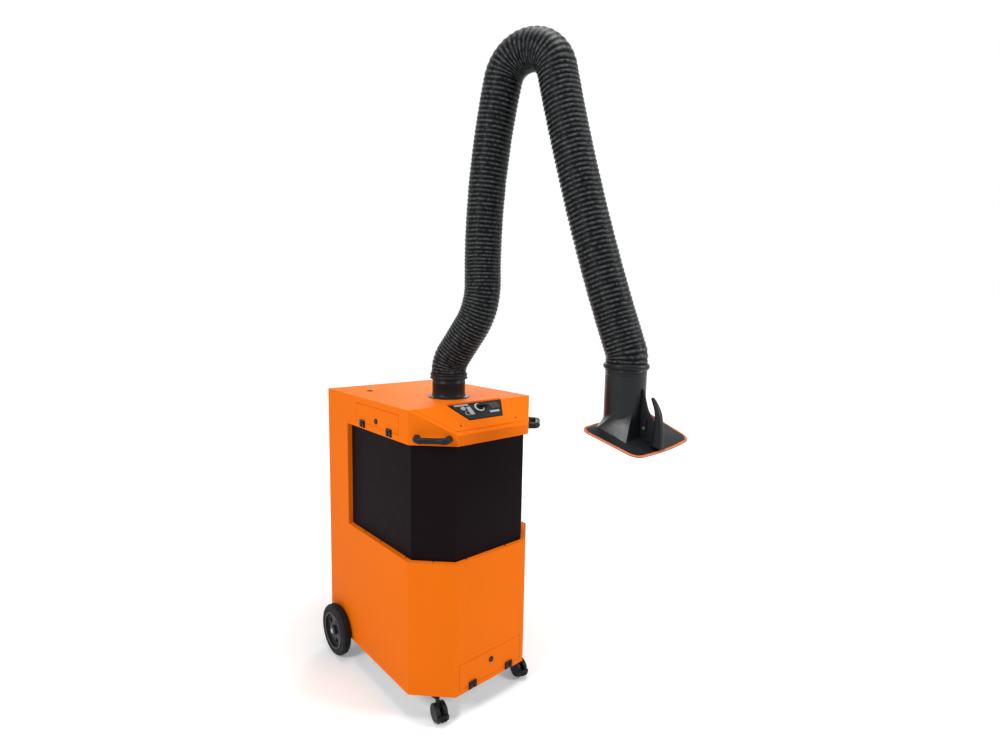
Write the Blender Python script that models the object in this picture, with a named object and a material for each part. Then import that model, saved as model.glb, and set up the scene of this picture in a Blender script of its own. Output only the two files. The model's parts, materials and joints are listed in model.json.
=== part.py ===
# Mobile welding fume extractor: a wheeled sheet-metal cabinet with a filter, a fan and a self-holding hose arm.
# Metres, +Z up, +X to the machine's right as seen from its rear, -Y to its front.
# The origin is the middle of the base plate's underside, GROUND_CLEARANCE above the floor.

from math import acos, atan2, cos, hypot, pi, radians, sin, sqrt

import bpy
import bmesh
from mathutils import Matrix, Vector

# Cabinet
BODY_WIDTH = 0.675
BODY_DEPTH = 0.881
CORNER_CUT = 0.143
LOWER_HEIGHT = 0.588
RECESS_HEIGHT = 0.494
HEAD_FRONT_HEIGHT = 0.044
SLOPE_RISE = 0.097
SLOPE_RUN = 0.143
GROUND_CLEARANCE = 0.114
SHEET = 0.003
PANEL_INSET = 0.0225
PANEL_LIP = 0.012
POST_DEPTH = 0.2055
REAR_FRAME = 0.030

# Clearances
SEAT_GAP = 0.0003
DOOR_SEAM = 0.0015
OVERRUN = 0.02
WELD = 0.000002
SMOOTH_ANGLE = radians(35)

# Arm
ARM_FRONT_INSET = 0.3305
ARM_TURN = radians(-70)
HOSE_CREST_RADIUS = 0.079
HOSE_VALLEY_RADIUS = 0.0755
HOSE_BORE_RADIUS = 0.0705
DUCT_RADIUS = 0.075
DUCT_WALL = 0.003
RIB_PITCH = 0.0155
COLLAR_HEIGHT = 0.085
SWIVEL_HEIGHT = 0.0265
FOOT_STRAIGHT = 0.119
FOOT_BEND_RADIUS = 0.130
FOOT_BEND = radians(35.2)
FOOT_REACH = 0.154
SHOULDER_BEND_RADIUS = 0.331
SHOULDER_BEND = radians(36.6)
LOWER_ARM = 0.827
LOWER_ARM_BOW = radians(14.2)
ELBOW_BEND_RADIUS = 0.123
ELBOW_BEND = radians(154.3)
UPPER_ARM = 1.125
UPPER_ARM_BOW = radians(7.3)
WRIST_BEND_RADIUS = 0.110
WRIST_STRAIGHT = 0.015
WRIST_TO_RING = 0.100

# Wheels
REAR_WHEEL_RADIUS = 0.125
REAR_WHEEL_WIDTH = 0.045
REAR_WHEEL_INSET = 0.1125
REAR_WHEEL_SIDE_GAP = 0.006
AXLE_RADIUS = 0.0075
CASTER_WHEEL_RADIUS = 0.039
CASTER_SIDE_INSET = 0.1055
CASTER_FRONT_INSET = 0.0885
CASTER_TRAIL = 0.031
CASTER_YAW = radians(-10)

LEDGE_Z = LOWER_HEIGHT
HEAD_Z = LEDGE_Z + RECESS_HEIGHT
SLOPE_Z = HEAD_Z + HEAD_FRONT_HEIGHT
TOP_Z = SLOPE_Z + SLOPE_RISE
FLOOR_Z = -GROUND_CLEARANCE
FRONT_Y = -BODY_DEPTH / 2
REAR_Y = BODY_DEPTH / 2
SIDE_X = BODY_WIDTH / 2
RECESS_REAR_Y = REAR_Y - POST_DEPTH
ARM_BASE_Y = FRONT_Y + ARM_FRONT_INSET
REAR_WHEEL_Y = REAR_Y - REAR_WHEEL_INSET
CASTER_X = SIDE_X - CASTER_SIDE_INSET
CASTER_Y = FRONT_Y + CASTER_FRONT_INSET
AXLE_Z = FLOOR_Z + REAR_WHEEL_RADIUS


# Finishes

def material(name, colour, roughness, metallic):
    """A Principled finish with the part's colour, roughness and metallic value."""
    made = bpy.data.materials.new(name)
    made.use_nodes = True
    shader = made.node_tree.nodes["Principled BSDF"]
    shader.inputs["Base Color"].default_value = (*colour, 1)
    shader.inputs["Roughness"].default_value = roughness
    shader.inputs["Metallic"].default_value = metallic
    made.diffuse_color = (*colour, 1)
    return made


for old in list(bpy.data.objects):
    bpy.data.objects.remove(old)

ORANGE_PAINT = material("orange_paint", (0.86, 0.19, 0.01), 0.35, 0.0)
ANTHRACITE_PAINT = material("anthracite_paint", (0.020, 0.017, 0.020), 0.45, 0.0)
BARE_STEEL = material("bare_steel", (0.55, 0.56, 0.57), 0.35, 1.0)
BLACK_PLASTIC = material("black_plastic", (0.018, 0.019, 0.020), 0.42, 0.0)
GREY_PLASTIC = material("grey_plastic", (0.30, 0.31, 0.32), 0.45, 0.0)
BLACK_RUBBER = material("black_rubber", (0.015, 0.015, 0.015), 0.80, 0.0)
ORANGE_RUBBER = material("orange_rubber", (0.80, 0.20, 0.05), 0.60, 0.0)
HOSE_FABRIC = material("hose_fabric", (0.012, 0.013, 0.014), 0.38, 0.0)
FILTER_MEDIA = material("filter_media", (0.80, 0.78, 0.72), 0.90, 0.0)


# Shapes

def solid(name, mesh_builder):
    """Links a new object whose mesh is the closed bmesh given, with its faces turned outwards."""
    bmesh.ops.recalc_face_normals(mesh_builder, faces=mesh_builder.faces)
    mesh = bpy.data.meshes.new(name)
    mesh_builder.to_mesh(mesh)
    mesh_builder.free()
    made = bpy.data.objects.new(name, mesh)
    bpy.context.scene.collection.objects.link(made)
    return made


def loft(name, rings, closed=False):
    """Skins equal rings of points in turn; an open loft gets a face over each end."""
    build = bmesh.new()
    rows = [[build.verts.new(point) for point in ring] for ring in rings]
    pairs = list(zip(rows, rows[1:] + rows[:1])) if closed else list(zip(rows, rows[1:]))
    for first, second in pairs:
        count = len(first)
        for i in range(count):
            j = (i + 1) % count
            build.faces.new((first[i], first[j], second[j], second[i]))
    if not closed:
        build.faces.new(rows[0])
        build.faces.new(rows[-1])
    return solid(name, build)


def prism(name, outline, low, high, frame=Matrix()):
    """An outline in a frame's XY plane, extruded from low to high along its Z."""
    rings = [[frame @ Vector((x, y, z)) for x, y in outline] for z in (low, high)]
    return loft(name, rings)


def box(name, low, high, frame=Matrix()):
    """An upright block between two corners."""
    outline = [(low[0], low[1]), (high[0], low[1]), (high[0], high[1]), (low[0], high[1])]
    return prism(name, outline, low[2], high[2], frame)


def turned(name, profile, sides, frame=Matrix()):
    """A closed profile of (radius, height) points turned about a frame's Z."""
    build = bmesh.new()
    rows = []
    for radius, height in profile:
        if radius == 0:
            rows.append([build.verts.new(frame @ Vector((0, 0, height)))])
            continue
        angles = [2 * pi * i / sides for i in range(sides)]
        rows.append([build.verts.new(frame @ Vector((radius * cos(a), radius * sin(a), height))) for a in angles])
    for first, second in zip(rows, rows[1:] + rows[:1]):
        for i in range(sides):
            j = (i + 1) % sides
            corners = [first[i % len(first)], first[j % len(first)], second[j % len(second)], second[i % len(second)]]
            unique = list(dict.fromkeys(corners))
            if len(unique) > 2:
                build.faces.new(unique)
    return solid(name, build)


def rod(name, radius, low, high, sides, frame=Matrix()):
    """A plain round bar along a frame's Z."""
    return turned(name, [(0, low), (radius, low), (radius, high), (0, high)], sides, frame)


def hole(name, radius, low, high, sides, frame=Matrix()):
    """A cutter that clears a round bar of a radius by the seat's gap on its flats too."""
    return rod(name, (radius + SEAT_GAP) / cos(pi / sides), low, high, sides, frame)


def tube(name, line, radii, sides, normal, frame=Matrix()):
    """A solid bar along a line that lies in one plane, with a radius for each point."""
    rings = []
    for i, point in enumerate(line):
        ahead = line[min(i + 1, len(line) - 1)] - line[max(i - 1, 0)]
        across = normal.cross(ahead.normalized())
        angles = [2 * pi * k / sides for k in range(sides)]
        rings.append([frame @ (point + radii[i] * (cos(a) * normal + sin(a) * across)) for a in angles])
    return loft(name, rings)


def corner_ring(half_x, half_y, radius, steps):
    """A rounded rectangle as points on its four corner arcs; equal half sizes and radius make a circle."""
    points = []
    for corner, (sx, sy) in enumerate(((1, 1), (-1, 1), (-1, -1), (1, -1))):
        for step in range(steps):
            angle = (corner + (step + 0.5) / steps) * pi / 2
            x = sx * (half_x - radius) + radius * cos(angle)
            y = sy * (half_y - radius) + radius * sin(angle)
            points.append((x, y))
    return points


def evaluate(target):
    """Keeps the result of an object's modifiers as its mesh."""
    graph = bpy.context.evaluated_depsgraph_get()
    build = bmesh.new()
    build.from_object(target, graph)
    bmesh.ops.remove_doubles(build, verts=build.verts, dist=WELD)
    bmesh.ops.dissolve_degenerate(build, edges=build.edges, dist=WELD)
    mesh = bpy.data.meshes.new(target.name)
    build.to_mesh(mesh)
    build.free()
    target.modifiers.clear()
    target.data = mesh


def combine(target, operation, *others):
    """Cuts other solids from a solid, or joins them to it, one by one."""
    for other in others:
        step = target.modifiers.new(operation.lower(), "BOOLEAN")
        step.operation = operation
        step.object = other
        evaluate(target)
        bpy.data.objects.remove(other)
    return target


def cut(target, *others):
    return combine(target, "DIFFERENCE", *others)


def join(target, *others):
    return combine(target, "UNION", *others)


def finish(target, paint, frame=Matrix()):
    """Gives a piece its paint and shading, and its own frame where it turns, slides or stands."""
    target.data.transform(frame.inverted())
    target.matrix_world = frame
    target.data.materials.clear()
    target.data.materials.append(paint)
    target.data.shade_smooth()
    target.data.set_sharp_from_angle(angle=SMOOTH_ANGLE)
    return target


def along_x(x=0, y=0, z=0):
    """A frame whose Z runs along +X."""
    return Matrix.Translation((x, y, z)) @ Matrix.Rotation(pi / 2, 4, "Y")


def along_y(x=0, y=0, z=0):
    """A frame whose Z runs along -Y, with its X along +X and its Y along +Z."""
    return Matrix.Translation((x, y, z)) @ Matrix.Rotation(pi / 2, 4, "X")


def facing(place, outward):
    """A frame at a place: Z runs outwards, X level to the right of one who looks at it, Y upwards."""
    out = Vector(outward).normalized()
    right = Vector((0, 0, 1)).cross(out).normalized()
    turn = Matrix((right, out.cross(right), out)).transposed()
    return Matrix.Translation(place) @ turn.to_4x4()


# Cabinet

HATCH_REAR_MARGIN = 0.087
HATCH_FRONT_MARGIN = 0.0715
HATCH_SILL = 0.027
HATCH_HEIGHT = 0.085
HATCH_BARREL_RADIUS = 0.004
HATCH_PIN_RADIUS = 0.0020
HATCH_PIN_REACH = 0.006
DRAWER_WIDTH = 0.352
DRAWER_SILL = 0.0205
DRAWER_HEIGHT = 0.1165
CONSOLE_INSET = 0.018
CONSOLE_FOOT = 0.022
PANEL_FOOT = 0.071
PANEL_FOOT_HALF = 0.092
PANEL_HEAD_HALF = 0.148
PANEL_HEAD_GAP = 0.006
PANEL_SEAT = 0.010

SLOPE_ANGLE = atan2(SLOPE_RISE, SLOPE_RUN)
SLOPE_LENGTH = hypot(SLOPE_RISE, SLOPE_RUN)
SLOPE_FRAME = Matrix.Translation((0, FRONT_Y, SLOPE_Z)) @ Matrix.Rotation(SLOPE_ANGLE, 4, "X")
HATCH_REAR_END = RECESS_REAR_Y - HATCH_REAR_MARGIN
HATCH_FRONT_END = FRONT_Y + CORNER_CUT + HATCH_FRONT_MARGIN
HATCH_LENGTH = HATCH_REAR_END - HATCH_FRONT_END
HATCH_Y = (HATCH_REAR_END + HATCH_FRONT_END) / 2
HATCH_Z = HEAD_Z + HATCH_SILL
HATCH_TOP_Z = HATCH_Z + HATCH_HEIGHT
HATCH_PIN_X = -SIDE_X + HATCH_BARREL_RADIUS
HATCH_PIN_Z = HATCH_TOP_Z - DOOR_SEAM - HATCH_BARREL_RADIUS


def plan(inset, rear=None):
    """The cabinet's outline from above, moved inwards, with both front corners cut off."""
    corner = CORNER_CUT + inset * (sqrt(2) - 1)
    side = SIDE_X - inset
    back = REAR_Y - inset if rear is None else rear
    return [
        (-side, back),
        (-side, FRONT_Y + corner),
        (-SIDE_X + corner, FRONT_Y + inset),
        (SIDE_X - corner, FRONT_Y + inset),
        (side, FRONT_Y + corner),
        (side, back),
    ]


def above_slope(depth):
    """All that lies over the sloped console, from a depth under its face."""
    low = (-BODY_WIDTH, -OVERRUN - SLOPE_LENGTH, -depth)
    high = (BODY_WIDTH, 2 * SLOPE_LENGTH, BODY_DEPTH)
    return box("above_slope", low, high, SLOPE_FRAME)


def panel_outline(inset):
    """The dark control panel's outline on the slope: narrow at its foot, wide at its head."""
    head = SLOPE_LENGTH - PANEL_HEAD_GAP
    return [
        (-PANEL_FOOT_HALF + inset, PANEL_FOOT + inset),
        (PANEL_FOOT_HALF - inset, PANEL_FOOT + inset),
        (PANEL_HEAD_HALF - inset, head - inset),
        (-PANEL_HEAD_HALF + inset, head - inset),
    ]


def cabinet_shell():
    """The welded housing: lower body, two rear posts and the head, open under, behind and where panels go."""
    inner_x = SIDE_X - SHEET
    passage_low = LEDGE_Z - SHEET - OVERRUN
    passage_high = HEAD_Z + SHEET + OVERRUN
    shell = prism("cabinet_shell", plan(0), 0, TOP_Z)
    cut(shell, above_slope(0))
    cut(shell, prism("lower_room", plan(SHEET), -OVERRUN, LEDGE_Z - SHEET))
    cut(shell, box("recess", (-BODY_WIDTH, -BODY_DEPTH, LEDGE_Z), (BODY_WIDTH, RECESS_REAR_Y, HEAD_Z)))
    rear_low = (-inner_x, RECESS_REAR_Y + SHEET, passage_low)
    cut(shell, box("rear_room", rear_low, (inner_x, REAR_Y - SHEET, passage_high)))
    passage = plan(PANEL_INSET + PANEL_LIP, RECESS_REAR_Y + SHEET + OVERRUN)
    cut(shell, prism("passage", passage, passage_low, passage_high))
    head_room = prism("head_room", plan(SHEET), HEAD_Z + SHEET, TOP_Z - SHEET)
    cut(head_room, above_slope(SHEET))
    cut(shell, head_room)
    frame_x = SIDE_X - REAR_FRAME
    rear_high = (frame_x, REAR_Y + OVERRUN, TOP_Z - REAR_FRAME)
    cut(shell, box("rear_opening", (-frame_x, REAR_Y - SHEET - OVERRUN, REAR_FRAME), rear_high))
    hatch_low = (-SIDE_X - OVERRUN, HATCH_Y - HATCH_LENGTH / 2, HATCH_Z)
    hatch_high = (-SIDE_X + SHEET + OVERRUN, HATCH_Y + HATCH_LENGTH / 2, HATCH_TOP_Z)
    cut(shell, box("hatch_opening", hatch_low, hatch_high))
    drawer_low = (-DRAWER_WIDTH / 2, FRONT_Y - OVERRUN, DRAWER_SILL)
    drawer_high = (DRAWER_WIDTH / 2, FRONT_Y + SHEET + OVERRUN, DRAWER_SILL + DRAWER_HEIGHT)
    cut(shell, box("drawer_opening", drawer_low, drawer_high))
    cut(shell, prism("console_opening", panel_outline(PANEL_SEAT), -OVERRUN, OVERRUN, SLOPE_FRAME))
    spigot = Matrix.Translation((0, ARM_BASE_Y, TOP_Z))
    cut(shell, hole("arm_hole", DUCT_RADIUS, -OVERRUN, OVERRUN, 24, spigot))
    axle = along_x(0, REAR_WHEEL_Y, AXLE_Z)
    cut(shell, hole("axle_holes", AXLE_RADIUS, -BODY_WIDTH, BODY_WIDTH, 12, axle))
    for end in (-1, 1):
        pin_frame = along_y(HATCH_PIN_X, HATCH_Y + end * HATCH_LENGTH / 2, HATCH_PIN_Z)
        join(shell, rod("hatch_pin", HATCH_PIN_RADIUS, -HATCH_PIN_REACH, HATCH_PIN_REACH, 8, pin_frame))
    return finish(shell, ORANGE_PAINT)


REAR_PANEL_MARGIN = 0.008
LOUVRE_COUNT = 9
LOUVRE_WIDTH = 0.30
LOUVRE_HEIGHT = 0.010
LOUVRE_PITCH = 0.022
LOUVRE_Z = 0.245
INLET_Z = 0.520
FITTING_INSET = 0.1175
GLAND_HOLE = 0.0125
GLAND_X = SIDE_X - FITTING_INSET
AIR_INLET_X = -GLAND_X


def rear_panel():
    """The screwed-on back, with the clean air's outlet slots and holes for the mains gland and the air inlet."""
    low_x = SIDE_X - REAR_PANEL_MARGIN
    low = (-low_x, REAR_Y + SEAT_GAP, REAR_PANEL_MARGIN)
    panel = box("rear_panel", low, (low_x, REAR_Y + SEAT_GAP + SHEET, TOP_Z - REAR_PANEL_MARGIN))
    for i in range(LOUVRE_COUNT):
        z = LOUVRE_Z + (i - (LOUVRE_COUNT - 1) / 2) * LOUVRE_PITCH
        slot_low = (-LOUVRE_WIDTH / 2, REAR_Y - OVERRUN, z - LOUVRE_HEIGHT / 2)
        slot_high = (LOUVRE_WIDTH / 2, REAR_Y + OVERRUN, z + LOUVRE_HEIGHT / 2)
        cut(panel, box("slot", slot_low, slot_high))
    for x in (GLAND_X, AIR_INLET_X):
        cut(panel, hole("hole", GLAND_HOLE, -OVERRUN, OVERRUN, 16, along_y(x, REAR_Y, INLET_Z)))
    return finish(panel, ORANGE_PAINT)


GLAND_NUT_RADIUS = 0.019
GLAND_NUT_LENGTH = 0.010
GLAND_TAIL_RADIUS = 0.013
GLAND_TAIL_LENGTH = 0.020
GLAND_BORE = 0.006
GLAND_THREAD = 0.012


def rear_fitting(name, x, paint, tail_radius):
    """A hollow screw fitting through the rear panel: inner thread, outer hexagon and tail."""
    face = SEAT_GAP
    nut = face + GLAND_NUT_LENGTH
    profile = [
        (GLAND_BORE, -GLAND_THREAD),
        (GLAND_HOLE, -GLAND_THREAD),
        (GLAND_HOLE, face),
        (GLAND_NUT_RADIUS, face),
        (GLAND_NUT_RADIUS, nut),
        (tail_radius, nut),
        (tail_radius, nut + GLAND_TAIL_LENGTH),
        (GLAND_BORE, nut + GLAND_TAIL_LENGTH),
    ]
    outward = Matrix.Translation((x, REAR_Y + SEAT_GAP + SHEET, INLET_Z)) @ Matrix.Rotation(-pi / 2, 4, "X")
    return finish(turned(name, profile, 12, outward), paint)


def side_panel(name, side):
    """One anthracite side panel, standing on the ledge under the head."""
    outer = SIDE_X - PANEL_INSET
    inner = outer - SHEET
    corner_y = FRONT_Y + CORNER_CUT + PANEL_INSET * (sqrt(2) - 1)
    start = corner_y + SHEET / sqrt(2) + SEAT_GAP
    low = (min(side * outer, side * inner), start, LEDGE_Z + SEAT_GAP)
    high = (max(side * outer, side * inner), RECESS_REAR_Y - SEAT_GAP, HEAD_Z - SEAT_GAP)
    return finish(box(name, low, high), ANTHRACITE_PAINT)


def front_panel():
    """The anthracite front, folded round both cut corners from one sheet."""
    outer = plan(PANEL_INSET)[1:5]
    inner = plan(PANEL_INSET + SHEET)[1:5]
    ends = SHEET / sqrt(2)
    inner[0] = (outer[0][0] + ends, outer[0][1] + ends)
    inner[3] = (outer[3][0] - ends, outer[3][1] + ends)
    panel = prism("front_panel", outer + inner[::-1], LEDGE_Z + SEAT_GAP, HEAD_Z - SEAT_GAP)
    return finish(panel, ANTHRACITE_PAINT)


CONSOLE_SHEET = 0.002
CONSOLE_HEAD_GAP = 0.002
CONTROL_THICKNESS = 0.0045
SCREW_RADIUS = 0.003


def console_plate():
    """The orange plate on the slope, with a trapezoid hole for the control panel."""
    spread = CONSOLE_INSET * sqrt(1 + cos(SLOPE_ANGLE) ** 2)
    head = SLOPE_LENGTH - CONSOLE_HEAD_GAP
    halves = [SIDE_X - CORNER_CUT + v * cos(SLOPE_ANGLE) - spread for v in (CONSOLE_FOOT, head)]
    outline = [(-halves[0], CONSOLE_FOOT), (halves[0], CONSOLE_FOOT), (halves[1], head), (-halves[1], head)]
    plate = prism("console_plate", outline, SEAT_GAP, SEAT_GAP + CONSOLE_SHEET, SLOPE_FRAME)
    cut(plate, prism("panel_hole", panel_outline(-SEAT_GAP), -OVERRUN, OVERRUN, SLOPE_FRAME))
    return finish(plate, ORANGE_PAINT)


SWITCH_PLACE = (0.002, 0.135)
SWITCH_RADIUS = 0.017
SWITCH_SHAFT = 0.005
SWITCH_BASE_HEIGHT = 0.007
SWITCH_GRIP_LENGTH = 0.052
SWITCH_GRIP_WIDTH = 0.014
SWITCH_GRIP_HEIGHT = 0.016
SWITCH_TAIL = 0.012
BUTTON_RADIUS = 0.009
BUTTON_STAND = 0.0035
BUTTON_DEPTH = 0.010
START_BUTTON = (-0.084, 0.138)
STOP_BUTTON = (-0.078, 0.108)
PANEL_TOP = SEAT_GAP + CONTROL_THICKNESS


def slope_at(x, v, w=0):
    """A frame on the sloped console: x across, v up the slope and w out of it."""
    return SLOPE_FRAME @ Matrix.Translation((x, v, w))


def control_panel():
    """The dark plastic control panel, resting on the slope's sheet, with holes for the switch and the buttons."""
    panel = prism("control_panel", panel_outline(0), SEAT_GAP, PANEL_TOP, SLOPE_FRAME)
    holes = ((START_BUTTON, BUTTON_RADIUS), (STOP_BUTTON, BUTTON_RADIUS), (SWITCH_PLACE, SWITCH_SHAFT))
    for (x, v), radius in holes:
        cut(panel, hole("hole", radius, -OVERRUN, OVERRUN, 16, slope_at(x, v)))
    return finish(panel, BLACK_PLASTIC)


def main_switch():
    """The rotary main switch: shaft, round base and bar grip."""
    frame = slope_at(*SWITCH_PLACE, PANEL_TOP + SEAT_GAP)
    switch = rod("main_switch", SWITCH_RADIUS, 0, SWITCH_BASE_HEIGHT, 20, frame)
    half_length = SWITCH_GRIP_LENGTH / 2
    half_width = SWITCH_GRIP_WIDTH / 2
    low = (SWITCH_RADIUS - half_length, -half_width, SWITCH_BASE_HEIGHT / 2)
    join(switch, box("grip", low, (SWITCH_RADIUS + half_length, half_width, SWITCH_GRIP_HEIGHT), frame))
    join(switch, rod("shaft", SWITCH_SHAFT, -SWITCH_TAIL, SWITCH_BASE_HEIGHT / 2, 12, frame))
    return finish(switch, BLACK_PLASTIC, frame)


def push_button(name, place):
    """A round button in its hole, standing a little proud of the panel."""
    frame = slope_at(*place, PANEL_TOP)
    button = rod(name, BUTTON_RADIUS, -BUTTON_DEPTH, BUTTON_STAND, 16, frame)
    return finish(button, GREY_PLASTIC, frame)


HANDLE_SPAN = 0.130
HANDLE_REACH = 0.050
HANDLE_BEND = 0.020
HANDLE_RADIUS = 0.0125
HANDLE_RISE = 0.030
BEND_STEPS = 3


def bow_line(span, reach, bend):
    """A bow handle's line in its frame's XZ plane: out, round a corner, across, and back."""
    points = [Vector((-span / 2, 0, 0))]
    for side, start in ((-1, pi), (1, pi / 2)):
        centre = Vector((side * (span / 2 - bend), 0, reach - bend))
        for k in range(BEND_STEPS + 1):
            angle = start - k * pi / 2 / BEND_STEPS
            points.append(centre + bend * Vector((cos(angle), 0, sin(angle))))
    points.append(Vector((span / 2, 0, 0)))
    return points


def bow_handle(name, side):
    """A black bow handle on one cut corner of the head."""
    outward = Vector((side, -1, 0)).normalized()
    foot = Vector((side * (SIDE_X - CORNER_CUT / 2), FRONT_Y + CORNER_CUT / 2, HEAD_Z + HANDLE_RISE))
    frame = facing(foot + outward * SEAT_GAP, outward)
    line = bow_line(HANDLE_SPAN, HANDLE_REACH, HANDLE_BEND)
    handle = tube(name, line, [HANDLE_RADIUS] * len(line), 8, Vector((0, 1, 0)), frame)
    return finish(handle, BLACK_PLASTIC, frame)


# Hatch and dust drawer

LATCH_WIDTH = 0.038
LATCH_HEIGHT = 0.034
LATCH_THICKNESS = 0.009
LATCH_AXIS_INSET = 0.005
LATCH_BARREL_RADIUS = 0.004
HATCH_LATCH_DROP = 0.002
HATCH_LATCH_REAR_INSET = 0.068
HATCH_LATCH_FRONT_INSET = 0.073
HATCH_LATCH_SHIFTS = (HATCH_LENGTH / 2 - HATCH_LATCH_REAR_INSET, HATCH_LATCH_FRONT_INSET - HATCH_LENGTH / 2)
HATCH_LOCK_RISE = 0.026
DRAWER_LATCH_X = 0.104
DRAWER_LATCH_RISE = 0.0035
DRAWER_LOCK_Z = 0.093
LOCK_RADIUS = 0.009
LOCK_HEAD = 0.004
LOCK_SHAFT = 0.006
CAM_LENGTH = 0.022
CAM_THICKNESS = 0.003
CAM_HALF_WIDTH = 0.004
BIN_LENGTH = 0.420
BIN_SIDE_GAP = 0.006
BIN_WALL = 0.002
BIN_HEIGHT = 0.100
BIN_FRONT_GAP = 0.014
RUNNER_X = 0.120
RUNNER_WIDTH = 0.020
RUNNER_START = 0.030


def door_leaf(name, width, height, frame):
    """A sheet door that fills its opening but for the seam, flush with the face round it."""
    low = (-width / 2 + DOOR_SEAM, DOOR_SEAM, -SHEET)
    return box(name, low, (width / 2 - DOOR_SEAM, height - DOOR_SEAM, 0), frame)


def latch(name, frame):
    """A flat latch on a door, turning about its upper edge, that reaches down over the seam."""
    bottom = LATCH_AXIS_INSET - LATCH_HEIGHT
    low = (-LATCH_WIDTH / 2, bottom, SEAT_GAP)
    plate = box(name, low, (LATCH_WIDTH / 2, 0, LATCH_THICKNESS / 2), frame)
    axis = frame @ Matrix.Translation((0, 0, SEAT_GAP + LATCH_AXIS_INSET))
    half = LATCH_WIDTH / 2 - SEAT_GAP
    barrel = axis @ Matrix.Rotation(pi / 2, 4, "Y")
    join(plate, rod("barrel", LATCH_BARREL_RADIUS, -half, half, 10, barrel))
    lip_low = (-half, bottom + SEAT_GAP, LATCH_THICKNESS / 4)
    lip_high = (half, bottom + LATCH_AXIS_INSET, LATCH_THICKNESS)
    join(plate, box("lip", lip_low, lip_high, frame))
    return finish(plate, BLACK_PLASTIC, axis)


def lock(name, frame):
    """A round lock: head on the door's face, shaft through it and a cam behind, lying level."""
    back = -SHEET - SEAT_GAP
    barrel = rod(name, LOCK_RADIUS, SEAT_GAP, LOCK_HEAD, 20, frame)
    join(barrel, rod("shaft", LOCK_SHAFT, back - 2 * CAM_THICKNESS, LOCK_HEAD / 2, 12, frame))
    low = (-CAM_HALF_WIDTH, -CAM_HALF_WIDTH, back - CAM_THICKNESS)
    join(barrel, box("cam", low, (CAM_LENGTH, CAM_HALF_WIDTH, back), frame))
    return finish(barrel, BARE_STEEL, frame)


HATCH_FRAME = facing((-SIDE_X, HATCH_Y, HATCH_Z), (-1, 0, 0))
DRAWER_FRAME = facing((0, FRONT_Y, DRAWER_SILL), (0, -1, 0))
HATCH_LOCK_FRAME = HATCH_FRAME @ Matrix.Translation((0, HATCH_LOCK_RISE, 0))
DRAWER_LOCK_FRAME = DRAWER_FRAME @ Matrix.Translation((0, DRAWER_LOCK_Z - DRAWER_SILL, 0))


def hatch_door():
    """The service hatch: a sheet that hangs from a hinge barrel along its top edge."""
    leaf_height = HATCH_PIN_Z - HATCH_Z + DOOR_SEAM
    leaf = door_leaf("hatch_door", HATCH_LENGTH, leaf_height, HATCH_FRAME)
    hinge = along_y(HATCH_PIN_X, HATCH_Y, HATCH_PIN_Z)
    reach = HATCH_LENGTH / 2 - DOOR_SEAM
    join(leaf, rod("barrel", HATCH_BARREL_RADIUS, -reach, reach, 12, hinge))
    for end in (-1, 1):
        bore = along_y(HATCH_PIN_X, HATCH_Y + end * HATCH_LENGTH / 2, HATCH_PIN_Z)
        depth = HATCH_PIN_REACH + SEAT_GAP
        cut(leaf, hole("bore", HATCH_PIN_RADIUS, -depth, depth, 8, bore))
    cut(leaf, hole("lock_hole", LOCK_SHAFT, -OVERRUN, OVERRUN, 16, HATCH_LOCK_FRAME))
    return finish(leaf, ORANGE_PAINT, hinge)


def drawer_front():
    """The orange front of the dust drawer, with the hole for its lock."""
    leaf = door_leaf("drawer_front", DRAWER_WIDTH, DRAWER_HEIGHT, DRAWER_FRAME)
    cut(leaf, hole("lock_hole", LOCK_SHAFT, -OVERRUN, OVERRUN, 16, DRAWER_LOCK_FRAME))
    return finish(leaf, ORANGE_PAINT, DRAWER_FRAME)


BIN_FLOOR_Z = DRAWER_SILL + DOOR_SEAM


def dust_bin():
    """The open tray behind the drawer's front, resting on the two runners."""
    half = DRAWER_WIDTH / 2 - BIN_SIDE_GAP
    front = FRONT_Y + SHEET + SEAT_GAP
    wall = front + BIN_FRONT_GAP
    top = BIN_FLOOR_Z + BIN_HEIGHT
    tray = box("dust_bin", (-half, wall, BIN_FLOOR_Z), (half, wall + BIN_LENGTH, top))
    low = (-half + BIN_WALL, wall + BIN_WALL, BIN_FLOOR_Z + BIN_WALL)
    cut(tray, box("room", low, (half - BIN_WALL, wall + BIN_LENGTH - BIN_WALL, top + OVERRUN)))
    tie_top = BIN_FLOOR_Z + BIN_FRONT_GAP
    join(tray, box("tie", (-half, front, BIN_FLOOR_Z), (half, wall + BIN_WALL / 2, tie_top)))
    return finish(tray, BARE_STEEL, DRAWER_FRAME)


def floor_plate():
    """The base plate between the walls, over the casters, with the drawer's runners on it."""
    plate = prism("floor_plate", plan(SHEET + SEAT_GAP), 0, SHEET)
    for side in (-1, 1):
        near = side * RUNNER_X
        low = (near - RUNNER_WIDTH / 2, FRONT_Y + RUNNER_START, SHEET / 2)
        high = (near + RUNNER_WIDTH / 2, FRONT_Y + BIN_LENGTH, BIN_FLOOR_Z - SEAT_GAP)
        join(plate, box("runner", low, high))
    return finish(plate, BARE_STEEL)


# Wheels

REAR_WHEEL_X = SIDE_X + REAR_WHEEL_SIDE_GAP
RIM_RADIUS = 0.092
RIM_LIP = 0.010
HUB_RADIUS = 0.024
WEB_INSET = 0.014
WEB_THICKNESS = 0.008
WHEEL_SIDES = 20
HUB_HOLES = 5
HUB_HOLE_RADIUS = 0.014
HUB_HOLE_CIRCLE = 0.054
TREAD_GROOVE = 0.004
TYRE_SHOULDER = 0.006
AXLE_CAP_RADIUS = 0.012
AXLE_CAP_LENGTH = 0.004


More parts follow.
